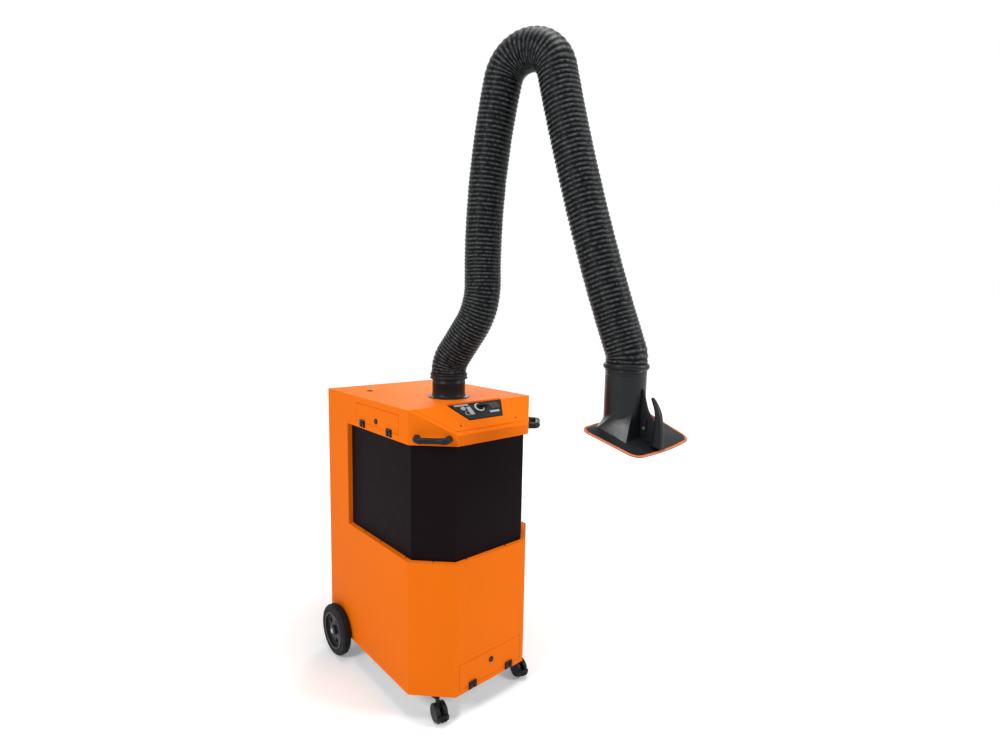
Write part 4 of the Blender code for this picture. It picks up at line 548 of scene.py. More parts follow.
def route(distance):
    """The point on the hose's middle line at a distance from its foot, and the heading there."""
    point = Vector((0, 0, 0))
    heading = 0
    left = distance
    for length, turn in ROUTE:
        run = min(left, length)
        rate = turn / length
        if rate == 0:
            point += run * Vector((sin(heading), 0, cos(heading)))
        else:
            after = heading + rate * run
            point += Vector((cos(heading) - cos(after), 0, sin(after) - sin(heading))) / rate
            heading = after
        left -= run
        if left <= 0:
            break
    return point, Vector((sin(heading), 0, cos(heading)))


elbow_place = ARM_FRAME @ route(ELBOW_AT)[0]
print("hose:", round(ROUTE_LENGTH - HOSE_START, 3), "m, elbow at", [round(v, 3) for v in elbow_place])

# %% [markdown]
# A stretch of hose is a tube whose radius follows the ribs: a narrow crest, then a wide fall.
# Two noises give it life. A coarse one moves whole ribs by part of a millimetre, and a fine one puckers
# the fabric, most in the middle of a fall and least over the wire. The hose is slack near its foot,
# where it is pushed together, and taut in the two long legs, where the ribs stand further apart.

# %% One stretch of hose
CREST_RADIUS = 0.0805
CREST_SHARPNESS = 1.3
FALL_DEPTH = 0.0024
PUCKER = 0.0017
PUCKERS_AROUND = 4.6
PUCKERS_ALONG = 62
UNEVEN = 0.0008
UNEVEN_ALONG = 18
SLACK_REACH = 1.1
LEAST_SLACK = 0.25
RINGS_PER_RIB = 6
HOSE_SIDES = 64


def crest_height(share):
    """One over a wire, nothing midway between two wires, by the share of the way from fall to fall."""
    return (0.5 - 0.5 * cos(2 * pi * share)) ** CREST_SHARPNESS


def hose_radius(around, along, crest):
    """The radius at an angle, a distance and a height between fall and crest."""
    fine = Vector((cos(around) * PUCKERS_AROUND, sin(around) * PUCKERS_AROUND, along * PUCKERS_ALONG))
    slack = max(LEAST_SLACK, 1 - (along - HOSE_START) / SLACK_REACH)
    pucker = noise.noise(fine) * PUCKER * slack * (1.2 - crest)
    uneven = noise.noise(Vector((cos(around), sin(around), along * UNEVEN_ALONG))) * UNEVEN
    return CREST_RADIUS - FALL_DEPTH * (1 - crest) - abs(pucker) + uneven


def hose_stretch(name, start, end, pitch, body, stands_for):
    """A ribbed tube along the route between two distances, with about one rib a pitch."""
    build = bmesh.new()
    steps = round((end - start) / pitch) * RINGS_PER_RIB
    rings = []
    heights = []
    for k in range(steps + 1):
        along = start + (end - start) * k / steps
        crest = crest_height((k % RINGS_PER_RIB) / RINGS_PER_RIB)
        heights += [crest**2] * HOSE_SIDES
        point, ahead = route(along)
        side = Vector((0, 1, 0))
        across = side.cross(ahead)
        ring = []
        for i in range(HOSE_SIDES):
            angle = 2 * pi * i / HOSE_SIDES
            radius = hose_radius(angle, along, crest)
            ring.append(ARM_FRAME @ (point + radius * (cos(angle) * side + sin(angle) * across)))
        rings.append(ring)
    loft(build, rings, closed_ends=False)
    made = piece(name, build, HOSE_FABRIC, body, stands_for, radians(80))
    made.data.attributes.new("crest", "FLOAT", "POINT").data.foreach_set("value", heights)
    return made


SHOULDER_REACH = 0.24
ELBOW_REACH = 0.26
WRIST_REACH = 0.14
SHOULDER_SPAN = (HOSE_START, SHOULDER_AT + SHOULDER_REACH)
ELBOW_SPAN = (ELBOW_AT - ELBOW_REACH, ELBOW_AT + ELBOW_REACH)
WRIST_SPAN = (WRIST_AT - WRIST_REACH, ROUTE_LENGTH)
hose_stretch("hose_rising", SHOULDER_SPAN[1], ELBOW_SPAN[0], 0.0182, "lower_arm", "hose_lower")
hose_stretch("hose_falling", ELBOW_SPAN[1], WRIST_SPAN[0], 0.019, "upper_arm", "hose_upper")
print("straight stretches: 2")

# %% [markdown]
# The stretches at the shoulder, the elbow and the wrist are made in the same way and baked into their
# place at rest. None of them is put on a body, and nothing makes them bend when the arm turns.

# %% The three stretches at the joints
STIFF_FOOT = 0.13


def bending_stretch(name, start, end, pitch, first, second, stands_for, stiff=0.0):
    """A stretch of hose, baked into its place at rest and on no body; first and second are not used, and
    stiff changes nothing.
    """
    made = hose_stretch(name, start, end, pitch, None, stands_for)
    near, near_way = route(start + stiff)
    far, far_way = route(end)
    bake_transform(made)
    return made


bending_stretch(
    "hose_at_shoulder", *SHOULDER_SPAN, 0.0152, "arm_collar", "lower_arm", "hose_shoulder", STIFF_FOOT
)
bending_stretch("hose_at_elbow", *ELBOW_SPAN, 0.0186, "lower_arm", "upper_arm", "hose_elbow")
bending_stretch("hose_at_wrist", *WRIST_SPAN, 0.0162, "upper_arm", "hood_neck", "hose_wrist")

# %% [markdown]
# The hose stands on a moulded collar: a flange with six screws on the cabinet's top, a plain neck,
# and a turning ring with two beads that the hose is clamped to. Each is a profile of radius and height,
# turned about the arm's axis. The solid ring carries the arm's inner post, so it stays,
# and the beads are a thin sleeve around it.

# %% Collar and turning ring
COLLAR_TOP = 0.085
COLLAR_SIDES = 96
FLANGE_SCREWS = 6
FLANGE_SCREW_AT = (0.0885, 0, 0.0045)
SCREW_SIDES = 18
SOCKET_SHARE = 0.45
SOCKET_FLOOR = 0.3
HEAD_STEPS = [(1, 0), (1, 0.6), (0.8, 1), (SOCKET_SHARE, 1)]
SLEEVE_WALL = 0.0012
COLLAR_PROFILE = [
    (0.072, -0.02), (0.075, -0.02), (0.075, 0.0003), (0.0925, 0.0003), (0.0925, 0.0035),
    (0.0915, 0.0045), (0.084, 0.005), (0.079, 0.0065), (0.0765, 0.01), (0.0755, 0.016),
    (0.0752, 0.064), (0.0765, 0.0665), (0.0765, 0.069), (0.0752, 0.0715), (0.0752, 0.083),
    (0.0745, COLLAR_TOP), (0.072, COLLAR_TOP),
]
RING_BEADS = [
    (0.0832, 0.0856), (0.0838, 0.087), (0.0862, 0.0885), (0.087, 0.0905), (0.0862, 0.0925),
    (0.084, 0.094), (0.0834, 0.0965), (0.0834, 0.102), (0.0842, 0.1035), (0.0858, 0.105),
    (0.0858, 0.108), (0.0842, 0.11), (0.0832, 0.1118),
]


def screw_head(build, place, radius, height=0.0016):
    """A low round screw head with a hexagon socket, on a frame's XY plane."""
    socket_radius = radius * SOCKET_SHARE
    socket = []
    for i in range(SCREW_SIDES):
        angle = 2 * pi * i / SCREW_SIDES
        reach = socket_radius * cos(pi / 6) / cos((angle + pi / 6) % (pi / 3) - pi / 6)
        socket.append((reach * cos(angle), reach * sin(angle)))
    head = turned([(radius * r, height * h) for r, h in HEAD_STEPS], SCREW_SIDES, place)
    loft(build, head + [placed(socket, z, place) for z in (height, height * SOCKET_FLOOR)])


def screw_row(name, frames, radius):
    """One object with a screw in each frame."""
    build = bmesh.new()
    for place in frames:
        screw_head(build, place, radius)
    return piece(name, build, SCREW_STEEL, "cabinet")


def beaded_sleeve(name, place, beads, body):
    """A thin turned sleeve with round beads, over a plainer ring."""
    inner = beads[0][0] - SLEEVE_WALL
    profile = [(inner, beads[0][1]), *beads, (inner, beads[-1][1])]
    rings = turned(profile, COLLAR_SIDES, place)
    return skinned_piece(name, rings, BLACK_PLASTIC, body, smooth=radians(50))


collar_rings = turned(COLLAR_PROFILE, COLLAR_SIDES, ARM_FRAME)
skinned_piece("arm_collar_fixed", collar_rings, BLACK_PLASTIC, "cabinet", "arm_flange")
flange_frames = []
for k in range(FLANGE_SCREWS):
    turn = Matrix.Rotation(2 * pi * k / FLANGE_SCREWS, 4, "Z")
    flange_frames.append(ARM_FRAME @ turn @ Matrix.Translation(FLANGE_SCREW_AT))
screw_row("flange_screws", flange_frames, 0.0032)
beaded_sleeve("turning_ring_beads", ARM_FRAME, RING_BEADS, "arm_collar")
print("collar: 3 turned pieces,", FLANGE_SCREWS, "screws")

# %% [markdown]
# The hood is one black moulding with three surfaces that run into each other.
# A plain tube comes down from the neck. On its left it opens into a scoop with one flat face.
# Below both lies a wide plate, tilted towards the work, whose front edge is bowed.
# A level cut through tube and scoop is the tightest band round a circle and two corners,
# so each cut is built that way: an arc, a straight side, the flat face, and the other straight side.
# Boolean unions of a cone and a box would give the same outline, but with no even mesh to round off.

# %% The hood's frames and cuts
HOOD_FRAME = Matrix.Translation((0.28105, -0.88218, 1.43203))
PLATE_FRAME = HOOD_FRAME @ Matrix.Translation((0.024, -0.042, -0.274))
PLATE_FRAME = PLATE_FRAME @ Matrix.Rotation(radians(18), 4, "X") @ Matrix.Rotation(radians(-5.7), 4, "Y")
TUBE_RADIUS = 0.079
TUBE_TOP = -0.0246
SCOOP_TOP = -0.205
SCOOP_END = 1.5
SCOOP_FEET = (Vector((-0.103, 0.05)), Vector((-0.09, -0.078)))
SCOOP_HEADS = (Vector((-0.087, 0.004)), Vector((-0.055, -0.07)))
ARC_STEPS = 70
FACE_STEPS = 24
SIDE_STEPS = 10
CONE = 0.014
CONE_FALL = 0.16


def scoop_cut(radius, share, inset=0.0):
    """The band round a circle and the scoop's two corners; share is 0 at the plate and 1 at SCOOP_TOP."""
    back, front = [foot + (head - foot) * share for foot, head in zip(SCOOP_FEET, SCOOP_HEADS)]
    back, front = [corner * (1 - inset / corner.length) for corner in (back, front)]
    angles = []
    for corner, side in ((front, 1), (back, -1)):
        spread = acos(radius / corner.length) if corner.length > radius else 0
        angles.append(atan2(corner.y, corner.x) + side * spread)
    start, stop = angles[0], angles[1] % (2 * pi)
    arc = [start + (stop - start) * k / ARC_STEPS for k in range(ARC_STEPS + 1)]
    path = [Vector((radius * cos(a), radius * sin(a))) for a in arc]
    path += [path[-1].lerp(back, k / SIDE_STEPS) for k in range(1, SIDE_STEPS)]
    path += [back.lerp(front, k / FACE_STEPS) for k in range(FACE_STEPS + 1)]
    path += [front.lerp(path[0], k / SIDE_STEPS) for k in range(1, SIDE_STEPS)]
    return [p * max(1, radius / p.length) for p in path]


def plate_height(x, y, below=0.0):
    """The height of the coned plate in the hood's frame, over a point beside the tube's axis."""
    tilted = HOOD_FRAME.inverted() @ PLATE_FRAME
    up = tilted.to_3x3() @ Vector((0, 0, 1))
    away = hypot(x, y) - TUBE_RADIUS
    middle = tilted @ Vector((0, 0, CONE - CONE_FALL * max(0, away) - below))
    return middle.z - ((x - middle.x) * up.x + (y - middle.y) * up.y) / up.z


print("a cut has", len(scoop_cut(TUBE_RADIUS, 0.5)), "points")

# %% [markdown]
# The tube and the scoop are skinned from those cuts, outside downwards and inside upwards, so the wall
# is real and a look into the mouth finds a duct. Under the neck two fine rings stand out.
# Towards the plate the wall flares, a little over the whole scoop and more in its last few millimetres.

# %% Hood tube and scoop
TUBE_WALL = 0.004
SCOOP_WALL = 0.006
SKIN_STEPS = 42
LINING_STEPS = 12
SKIN_SUNK = 0.001
LINING_SUNK = 0.003
SCOOP_FLARE = 0.003
FOOT_FLARE = 0.004
FOOT_STEEPNESS = 12
TUBE_RINGS = [
    (0.0785, TUBE_TOP), (TUBE_RADIUS, TUBE_TOP - 0.001), (TUBE_RADIUS, -0.0335), (0.0801, -0.0345),
    (0.0801, -0.036), (TUBE_RADIUS, -0.037), (TUBE_RADIUS, -0.0425), (0.0799, -0.0435),
    (0.0799, -0.0448), (TUBE_RADIUS, -0.0458), (TUBE_RADIUS, -0.12),
]


def scoop_ring(radius, share, inset, below):
    """One cut set at its height, between the plate at share 0 and the scoop's top at share 1."""
    ring = []
    for p in scoop_cut(radius, share, inset):
        foot = plate_height(p.x, p.y, below)
        ring.append(HOOD_FRAME @ Vector((*p, foot + (SCOOP_TOP - foot) * share)))
    return ring


def hood_tube():
    """The tube with its scoop, as a closed wall."""
    rings = [placed(scoop_cut(radius, SCOOP_END), z, HOOD_FRAME) for radius, z in TUBE_RINGS]
    for k in range(SKIN_STEPS + 1):
        share = SCOOP_END * (1 - k / SKIN_STEPS)
        flare = SCOOP_FLARE * max(0, 1 - share) ** 2 + FOOT_FLARE * max(0, 1 - share * FOOT_STEEPNESS)
        rings.append(scoop_ring(TUBE_RADIUS + flare, share, 0, SKIN_SUNK))
    bore = TUBE_RADIUS - TUBE_WALL
    for k in range(LINING_STEPS + 1):
        rings.append(scoop_ring(bore, SCOOP_END * k / LINING_STEPS, SCOOP_WALL, LINING_SUNK))
    rings.append(placed(scoop_cut(bore, SCOOP_END, SCOOP_WALL), TUBE_TOP, HOOD_FRAME))
    return skinned_piece("hood_tube", rings, HOOD_PLASTIC, "hood", "hood_shell", radians(28))


hood_tube()
print("hood tube: wall 4 mm, top at", round(HOOD_FRAME.translation.z + TUBE_TOP, 3), "m")

# %% [markdown]
# The plate rises in a shallow cone from its rim to the tube, so that fume runs in along it from every side.
# Its outline widens towards the back. An orange rubber edge with one fine groove is pushed on over the rim,
# so nobody is cut by it. Both follow the same outline: for the edge each point is moved outwards along its
# normal, and for the plate the points are drawn towards the tube's axis.

# %% Hood plate and rubber edge
PLATE_CORNERS = [
    (-0.188, 0.119, 0.03), (-0.149, -0.118, 0.045), (0.006, -0.138, 0.9), (0.176, -0.128, 0.045),
    (0.196, 0.116, 0.032),
]
PLATE_HALF_SHEET = 0.002
MOUTH_RADIUS = TUBE_RADIUS - 0.003
CONE_STEPS = 8
CONE_CURVE = 1.2
EDGE_PROFILE = [
    (-0.004, 0.0026), (-0.0032, 0.0034), (0.001, 0.0038), (0.0044, 0.0034), (0.0062, 0.0022),
    (0.0067, 0.0007), (0.0059, 0.0), (0.0067, -0.0007), (0.0062, -0.0022), (0.0044, -0.0034),
    (0.001, -0.0038), (-0.0032, -0.0034), (-0.004, -0.0026),
]


def denser(outline, longest=0.012):
    """Adds points on the long sides of an outline."""
    points = []
    for i, (x, y) in enumerate(outline):
        ahead = outline[(i + 1) % len(outline)]
        cuts = max(1, round(hypot(ahead[0] - x, ahead[1] - y) / longest))
        for k in range(cuts):
            points.append((x + (ahead[0] - x) * k / cuts, y + (ahead[1] - y) * k / cuts))
    return points


def moved_out(outline, distance):
    """Moves each point of an outline outwards along its normal."""
    points = []
    for i, (x, y) in enumerate(outline):
        before = Vector(outline[i - 1])
        after = Vector(outline[(i + 1) % len(outline)])
        along = (after - before).normalized()
        points.append((x - along.y * distance, y + along.x * distance))
    area = sum(a[0] * b[1] - b[0] * a[1] for a, b in zip(outline, outline[1:] + outline[:1]))
    return moved_out(outline[::-1], distance)[::-1] if area > 0 else points


PLATE_EDGE = denser(rounded_outline(PLATE_CORNERS, 14))
MOUTH_AT = (PLATE_FRAME.inverted() @ HOOD_FRAME @ Vector((0, 0, plate_height(0, 0)))).xy


def cone_ring(step, face):
    """The plate's outline drawn towards the mouth by a number of steps, on its upper or lower face."""
    share = step / CONE_STEPS
    height = face + (CONE - PLATE_HALF_SHEET) * share**CONE_CURVE
    ring = []
    for x, y in PLATE_EDGE:
        away = Vector((x, y)) - MOUTH_AT
        mouth = MOUTH_AT + away.normalized() * MOUTH_RADIUS
        ring.append(PLATE_FRAME @ Vector((*Vector((x, y)).lerp(mouth, share), height)))
    return ring


top = [cone_ring(k, PLATE_HALF_SHEET) for k in range(CONE_STEPS + 1)]
under = [cone_ring(k, -PLATE_HALF_SHEET) for k in range(CONE_STEPS, -1, -1)]
skinned_piece("hood_plate", top + under, BLACK_PLASTIC, "hood")
edge_rings = [placed(moved_out(PLATE_EDGE, out), z, PLATE_FRAME) for out, z in EDGE_PROFILE]
skinned_piece("hood_edge", edge_rings, ORANGE_RUBBER, "hood", "hood_edge_trim", radians(60))
print("plate outline:", len(PLATE_EDGE), "points")

# %% [markdown]
# To aim the hood the welder takes a horn beside the tube, broad at its foot and slim at its tip.
# Its section is more box than circle, so it is skinned from superellipses along its bent middle line.
# A fin behind it stiffens the plate, with a small lug on it and a rounded bead along its foot.

# %% Horn, fin and lug
# Painted highlight: the lug and the bead at the fin's foot are black plastic painted light grey.
LUG_HIGHLIGHT_GREY = (0.085, 0.09, 0.092)
LUG_HIGHLIGHT_PLASTIC = finish("lug_highlight_plastic", LUG_HIGHLIGHT_GREY, 0.1, (0.38, 0.5), (700, 0.0002), shine=0.3)
SQUARENESS = 3.2
HORN_SIDES = 32
HORN = [
    (0.1222, 0.1205, 0.003, 0.0028), (0.124, 0.1232, 0.0056, 0.0052),
    (0.131, 0.133, 0.0082, 0.007), (0.14, 0.149, 0.01, 0.0084),
    (0.147, 0.164, 0.012, 0.0096), (0.152, 0.18, 0.0142, 0.0108),
    (0.155, 0.207, 0.016, 0.0124), (0.1565, 0.23, 0.0174, 0.0142),
    (0.157, 0.252, 0.0192, 0.0164), (0.156, 0.278, 0.0214, 0.019),
    (0.154, 0.299, 0.0236, 0.0214),
]
FIN = [
    (0.077, 0.091), (0.087, 0.096), (0.096, 0.134), (0.108, 0.169), (0.13, 0.2), (0.148, 0.229),
    (0.15, 0.29), (0.139, 0.296), (0.077, 0.284),
]
FIN_FRAME = HOOD_FRAME @ Matrix(((0, 0, 1, 0), (-1, 0, 0, 0), (0, -1, 0, 0), (0, 0, 0, 1)))
LUG_AT = Matrix.Translation((-0.0115, -0.099, -0.24))
LUG_KNOB = [(0.0065, -0.004), (0.0065, 0.001), (0.0055, 0.0026), (0.003, 0.0034), (0.0001, 0.0036)]
FOOT_BEAD = (Vector((-0.006, -0.04, CONE)), Vector((-0.011, -0.116, 0.004)))
FOOT_BEAD_SIZES = (0.0012, 0.003, 0.003, 0.003, 0.003, 0.003, 0.0012)
NECK_BEAD = [
    (0.0795, -0.0243), (0.0815, -0.0238), (0.085, -0.0205), (0.0872, -0.0165), (0.0879, -0.012),
    (0.0872, -0.0075), (0.085, -0.0035), (0.0835, -0.0015), (0.0825, -0.0004),
]


def horn():
    """The horn beside the tube that the hood is moved by."""
    rings = []
    for i, (out, down, half_x, half_y) in enumerate(HORN):
        before = Vector(HORN[max(0, i - 1)][:2])
        after = Vector(HORN[min(len(HORN) - 1, i + 1)][:2])
        way = (after - before).normalized()
        ring = []
        for c, s in circle(1, HORN_SIDES):
            size = (abs(c) ** SQUARENESS + abs(s) ** SQUARENESS) ** (-1 / SQUARENESS)
            side = half_y * s * size
            ring.append(HOOD_FRAME @ Vector((half_x * c * size, -out - side * way.y, -down + side * way.x)))
        rings.append(ring)
    return skinned_piece("hood_horn", rings, BLACK_PLASTIC, "hood", smooth=radians(50), closed_loop=False)


def fin():
    """The upright fin between the tube and the horn, with the lug's block on its side."""
    build = bmesh.new()
    extrude_outline(build, FIN, -0.004, 0.004, FIN_FRAME)
    block(build, (0.0915, 0.205, -0.011), (0.1065, 0.244, -0.0035), FIN_FRAME)
    return soften(piece("hood_fin", build, BLACK_PLASTIC, "hood"), 0.002, 3)


def lug():
    """The round knob on the fin's lug and the bead at its foot, painted light grey as a painted highlight.
    """
    build = bmesh.new()
    knob = HOOD_FRAME @ LUG_AT @ Matrix.Rotation(-pi / 2, 4, "Y")
    loft(build, turned(LUG_KNOB, 24, knob))
    start, stop = FOOT_BEAD
    rings = []
    for k, size in enumerate(FOOT_BEAD_SIZES):
        at = start.lerp(stop, k / (len(FOOT_BEAD_SIZES) - 1))
        rings.append([PLATE_FRAME @ (at + Vector((x, 0, z))) for x, z in circle(size, 12)])
    loft(build, rings)
    return piece("hood_lug", build, LUG_HIGHLIGHT_PLASTIC, "hood", smooth=radians(50))


horn()
fin()
lug()
beaded_sleeve("hood_neck_bead", HOOD_FRAME, NECK_BEAD, "hood_neck")
print("hood: tube, plate, edge, horn, fin, lug, bead")

# %% [markdown]
# The cabinet is folded and powder-coated sheet, so its solids are already right in shape.
# Only the folds are missing: a real bend has a small radius that catches a thin line of light.
# Each sheet is copied and its edges are rounded. The dark panels stay crisper than the shell.
# Where two sheets meet, the gap of the model is kept, since it is the seam that one sees.

# %% Cabinet sheets
SOFT_EDGES = {
    0.0018: ("cabinet_shell",),
    0.001: ("side_panel_left", "side_panel_right", "front_panel"),
    0.0006: ("console_plate", "hatch_door", "drawer_front", "rear_panel", "mains_gland", "air_connector"),
}
for edge_radius, node_names in SOFT_EDGES.items():
    for node_name in node_names:
        softened_copy(node_name, edge_radius)

# %% [markdown]
# Small dark screws hold the panels, along the ledge under the black panels, on the sloping console plate
# and round the rear panel. Each has a low round head with a socket, and all of one row share an object.

# %% Screws on the ledge and the slope
LEDGE_SCREWS_SIDE = (0.1, -0.04, -0.25)
LEDGE_SCREWS_FRONT = (-0.132, 0.087)
LEDGE_INSET = 0.018
CHAMFER_MIDDLE = (SIDE_X - CORNER_CUT / 2, FRONT_Y + CORNER_CUT / 2)
SLOPE_SCREWS = ((-0.152, 0.048, 0.0023), (0.152, 0.048, 0.0023))

inset = LEDGE_INSET / sqrt(2)
ledge = []
for side in (-1, 1):
    ledge += [(side * (SIDE_X - LEDGE_INSET), y, LEDGE_Z) for y in LEDGE_SCREWS_SIDE]
    ledge.append((side * (CHAMFER_MIDDLE[0] - inset), CHAMFER_MIDDLE[1] + inset, LEDGE_Z))
ledge += [(x, FRONT_Y + LEDGE_INSET, LEDGE_Z) for x in LEDGE_SCREWS_FRONT]
screw_row("ledge_screws", [Matrix.Translation(at) for at in ledge], 0.0038)
screw_row("slope_screws", [SLOPE_FRAME @ Matrix.Translation(at) for at in SLOPE_SCREWS], 0.0042)
print("ledge screws:", len(ledge))

# %% [markdown]
# On the top, behind the arm, a rubber grommet closes a round hole. On the sheet under the arm's flange
# a narrow orange lip is folded up, which keeps the console's edge stiff.

# %% Grommet and top lip
GROMMET_FRAME = Matrix.Translation((-0.212, 0.246, TOP_Z))
GROMMET = [
    (0.0001, 0.0012), (0.006, 0.0012), (0.0078, 0.003), (0.0128, 0.0033), (0.015, 0.0022),
    (0.0158, 0.0003), (0.0001, 0.0003),
]
LIP_FRAME = Matrix.Translation((0, FRONT_Y + SLOPE_RUN, TOP_Z))
LIP = ((-0.15, 0.0015, 0.0002), (0.15, 0.004, 0.005))

skinned_piece("top_grommet", turned(GROMMET, 40, GROMMET_FRAME), BLACK_PLASTIC, "cabinet")
soften(block_piece("top_lip", [LIP], LIP_FRAME, ORANGE_COAT, "cabinet"), 0.0009)
print("grommet and lip on the top")

# %% [markdown]
# The console is a black moulded panel in a cut-out of the slope. A raised rim runs round it.
# On the left are blank grey label fields and two push buttons, and in the middle is the main switch:
# a light round base with a black lever that points to the right when the machine is off.
# The rim's outline is the panel's own trapezoid, moved in by one to four millimetres.

# %% Console
DARK_GLASS = finish("dark_glass", (0.008, 0.009, 0.011), 0.05, (0.08, 0.14), (300, 0.00002))
CONSOLE_CORNERS = [
    (-0.092, 0.071, 0.005), (0.092, 0.071, 0.005), (0.148, 0.1668, 0.005), (-0.148, 0.1668, 0.005),
]
CONSOLE_RIM = [
    (-0.001, 0.0), (-0.001, 0.005), (-0.0018, 0.0062), (-0.0034, 0.0062), (-0.004, 0.0049),
    (-0.004, 0.0),
]
PANEL_FACE = 0.0048
LABEL_LOW = PANEL_FACE + 0.0001
LABEL_HIGH = PANEL_FACE + 0.0009
LABELS = [
    ((-0.122, 0.1535, LABEL_LOW), (-0.046, 0.1625, LABEL_HIGH)),
    ((-0.066, 0.098, LABEL_LOW), (-0.044, 0.146, LABEL_HIGH)),
    ((0.04, 0.096, LABEL_LOW), (0.094, 0.108, LABEL_HIGH)),
]
WINDOW = ((0.062, 0.118, LABEL_LOW), (0.112, 0.154, PANEL_FACE + 0.0016))
BUTTONS = {"button_start": (-0.084, 0.138), "button_stop": (-0.078, 0.108)}
BUTTON_CAP = [
    (0.0001, 0.003), (0.0055, 0.0031), (0.0076, 0.0036), (0.0088, 0.0034), (0.009, 0.0026),
    (0.009, 0.0004), (0.0001, 0.0004),
]
BUTTON_RING = [
    (0.0093, 0.0001), (0.0093, 0.0018), (0.0099, 0.0024), (0.0113, 0.0022), (0.0119, 0.0012),
    (0.0121, 0.0001),
]


def on_panel(x, y):
    """A frame on the console panel's face."""
    return SLOPE_FRAME @ Matrix.Translation((x, y, PANEL_FACE))


def button_rings():
    """The fixed rings that the buttons move in."""
    build = bmesh.new()
    for at in BUTTONS.values():
        loft(build, turned(BUTTON_RING, 40, on_panel(*at)), closed_loop=True)
    return piece("button_rings", build, GREY_PLASTIC, "cabinet")


def button_cap(name, paint):
    """A round push button over the solid of the same name, on the body of that name."""
    return skinned_piece(name + "_cap", turned(BUTTON_CAP, 40, on_panel(*BUTTONS[name])), paint, name, name)


panel_outline = rounded_outline(CONSOLE_CORNERS, 5)
rim_rings = [placed(moved_out(panel_outline, out), z, SLOPE_FRAME) for out, z in CONSOLE_RIM]
skinned_piece("console_rim", rim_rings, BLACK_PLASTIC, "cabinet")
soften(block_piece("console_labels", LABELS, SLOPE_FRAME, GREY_PLASTIC, "cabinet"), 0.0003)
soften(block_piece("console_window", [WINDOW], SLOPE_FRAME, DARK_GLASS, "cabinet"), 0.0006)
button_rings()
button_cap("button_start", GREY_PLASTIC)
button_cap("button_stop", BLACK_PLASTIC)
print("console: rim, labels, window, buttons")

# %% [markdown]
# The main switch is a light grey escutcheon with a fixed skirt and a black lever on it.
# The lever belongs to the body that turns. It is a wedge: high and narrow over the pivot, lower at its tip.

# %% Main switch
LIGHT_PLASTIC = finish("light_plastic", (0.62, 0.63, 0.64), 0.03, (0.35, 0.45), (700, 0.0001))
SWITCH_FRAME = on_panel(0.002, 0.135)
SWITCH_BASE = [(0.0174, 0.0001), (0.0236, 0.0001), (0.0236, 0.0012), (0.0228, 0.002), (0.0174, 0.002)]
SWITCH_DISC = [
    (0.0001, 0.0073), (0.012, 0.0073), (0.016, 0.0068), (0.017, 0.0058), (0.0171, 0.0004),
    (0.0001, 0.0004),
]
LEVER_FOOT = 0.0062
LEVER_EDGE = (0.002, 0.003)
LEVER = [
    (-0.01, 0.0052, 0.018), (0.0, 0.0066, 0.0216), (0.02, 0.0068, 0.0206),
    (0.036, 0.0058, 0.017), (0.0425, 0.004, 0.013),
]


def switch_lever():
    """The turning disc and its lever."""
    build = bmesh.new()
    loft(build, turned(SWITCH_DISC, 56, SWITCH_FRAME), closed_loop=True)
    rings = []
    for along, half, top in LEVER:
        right = [(half, LEVER_FOOT), (half, top - LEVER_EDGE[1]), (half - LEVER_EDGE[0], top)]
        section = [(-half, LEVER_FOOT)] + right + [(-y, z) for y, z in right[:0:-1]]
        rings.append([SWITCH_FRAME @ Vector((along, y, z)) for y, z in section])
    loft(build, rings)
    made = piece("switch_lever", build, BLACK_PLASTIC, "main_switch", "main_switch", radians(30))
    return soften(made, 0.0008)


skinned_piece("switch_base", turned(SWITCH_BASE, 56, SWITCH_FRAME), LIGHT_PLASTIC, "cabinet")
switch_lever()
print("switch lever turns with main_switch")

# %% [markdown]
# Two tension latches and a round lock hold the filter hatch, and the same set holds the dust drawer.
# A latch is a lever in two blocks with a notch between them, hung on a round barrel along its upper edge.
# The side outline of the lever is drawn once and pulled to the width of each block.
# Every latch is placed by the box of its own solid, so it stays on the pin that it turns on.
# A lock's solid reaches through the door, so its frame is found from the front of its box instead.

# %% Latches
LATCH_HALF = 0.019
LATCH_LEVER = [
    (-0.017, 0.0006), (-0.017, 0.0058), (-0.0145, 0.008), (0.0045, 0.0088), (0.0062, 0.007),
    (0.0062, 0.0006),
]
LATCH_NOTCH = [(-0.013, 0.0006), (-0.013, 0.0046), (0.0062, 0.0052), (0.0062, 0.0006)]
LATCH_BARREL = [(0.0125 + y, 0.0045 + z) for y, z in circle(0.0043, 18)]
LATCH_PARTS = [
    (LATCH_LEVER, -LATCH_HALF, -0.0052), (LATCH_LEVER, 0.0052, LATCH_HALF),
    (LATCH_NOTCH, -0.0053, 0.0053), (LATCH_BARREL, -LATCH_HALF, -0.0085),
    (LATCH_BARREL, -0.0075, 0.0075), (LATCH_BARREL, 0.0085, LATCH_HALF),
]
LEFTWARDS = Vector((-1, 0, 0))
FORWARDS = Vector((0, -1, 0))
REARWARDS = Vector((0, 1, 0))


def latch(node_name, outward):
    """A lever in two blocks on a round barrel, in the place of a latch's solid."""
    low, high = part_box(node_name)
    depth = abs((high - low).dot(outward)) / 2
    sideways = facing((low + high) / 2 - outward * depth, outward) @ SIDEWAYS
    build = bmesh.new()
    for outline, start, end in LATCH_PARTS:
        extrude_outline(build, outline, start, end, sideways)
    made = piece(node_name + "_lever", build, BLACK_PLASTIC, BODY_OF_NODE[node_name], node_name)
    return soften(made, 0.0006)


latch("hatch_latch_front", LEFTWARDS)
latch("hatch_latch_rear", LEFTWARDS)
latch("drawer_latch_left", FORWARDS)
latch("drawer_latch_right", FORWARDS)
print("latches: 4")

# %% [markdown]
# The lock's head sits on the door's face, and its cam lies behind the door, along the frame's X.
# The solid's box holds both, so the head's middle is LOCK_MIDDLE in from the box's other side.
# The visual head is a little wider than the solid's, as in the photograph.

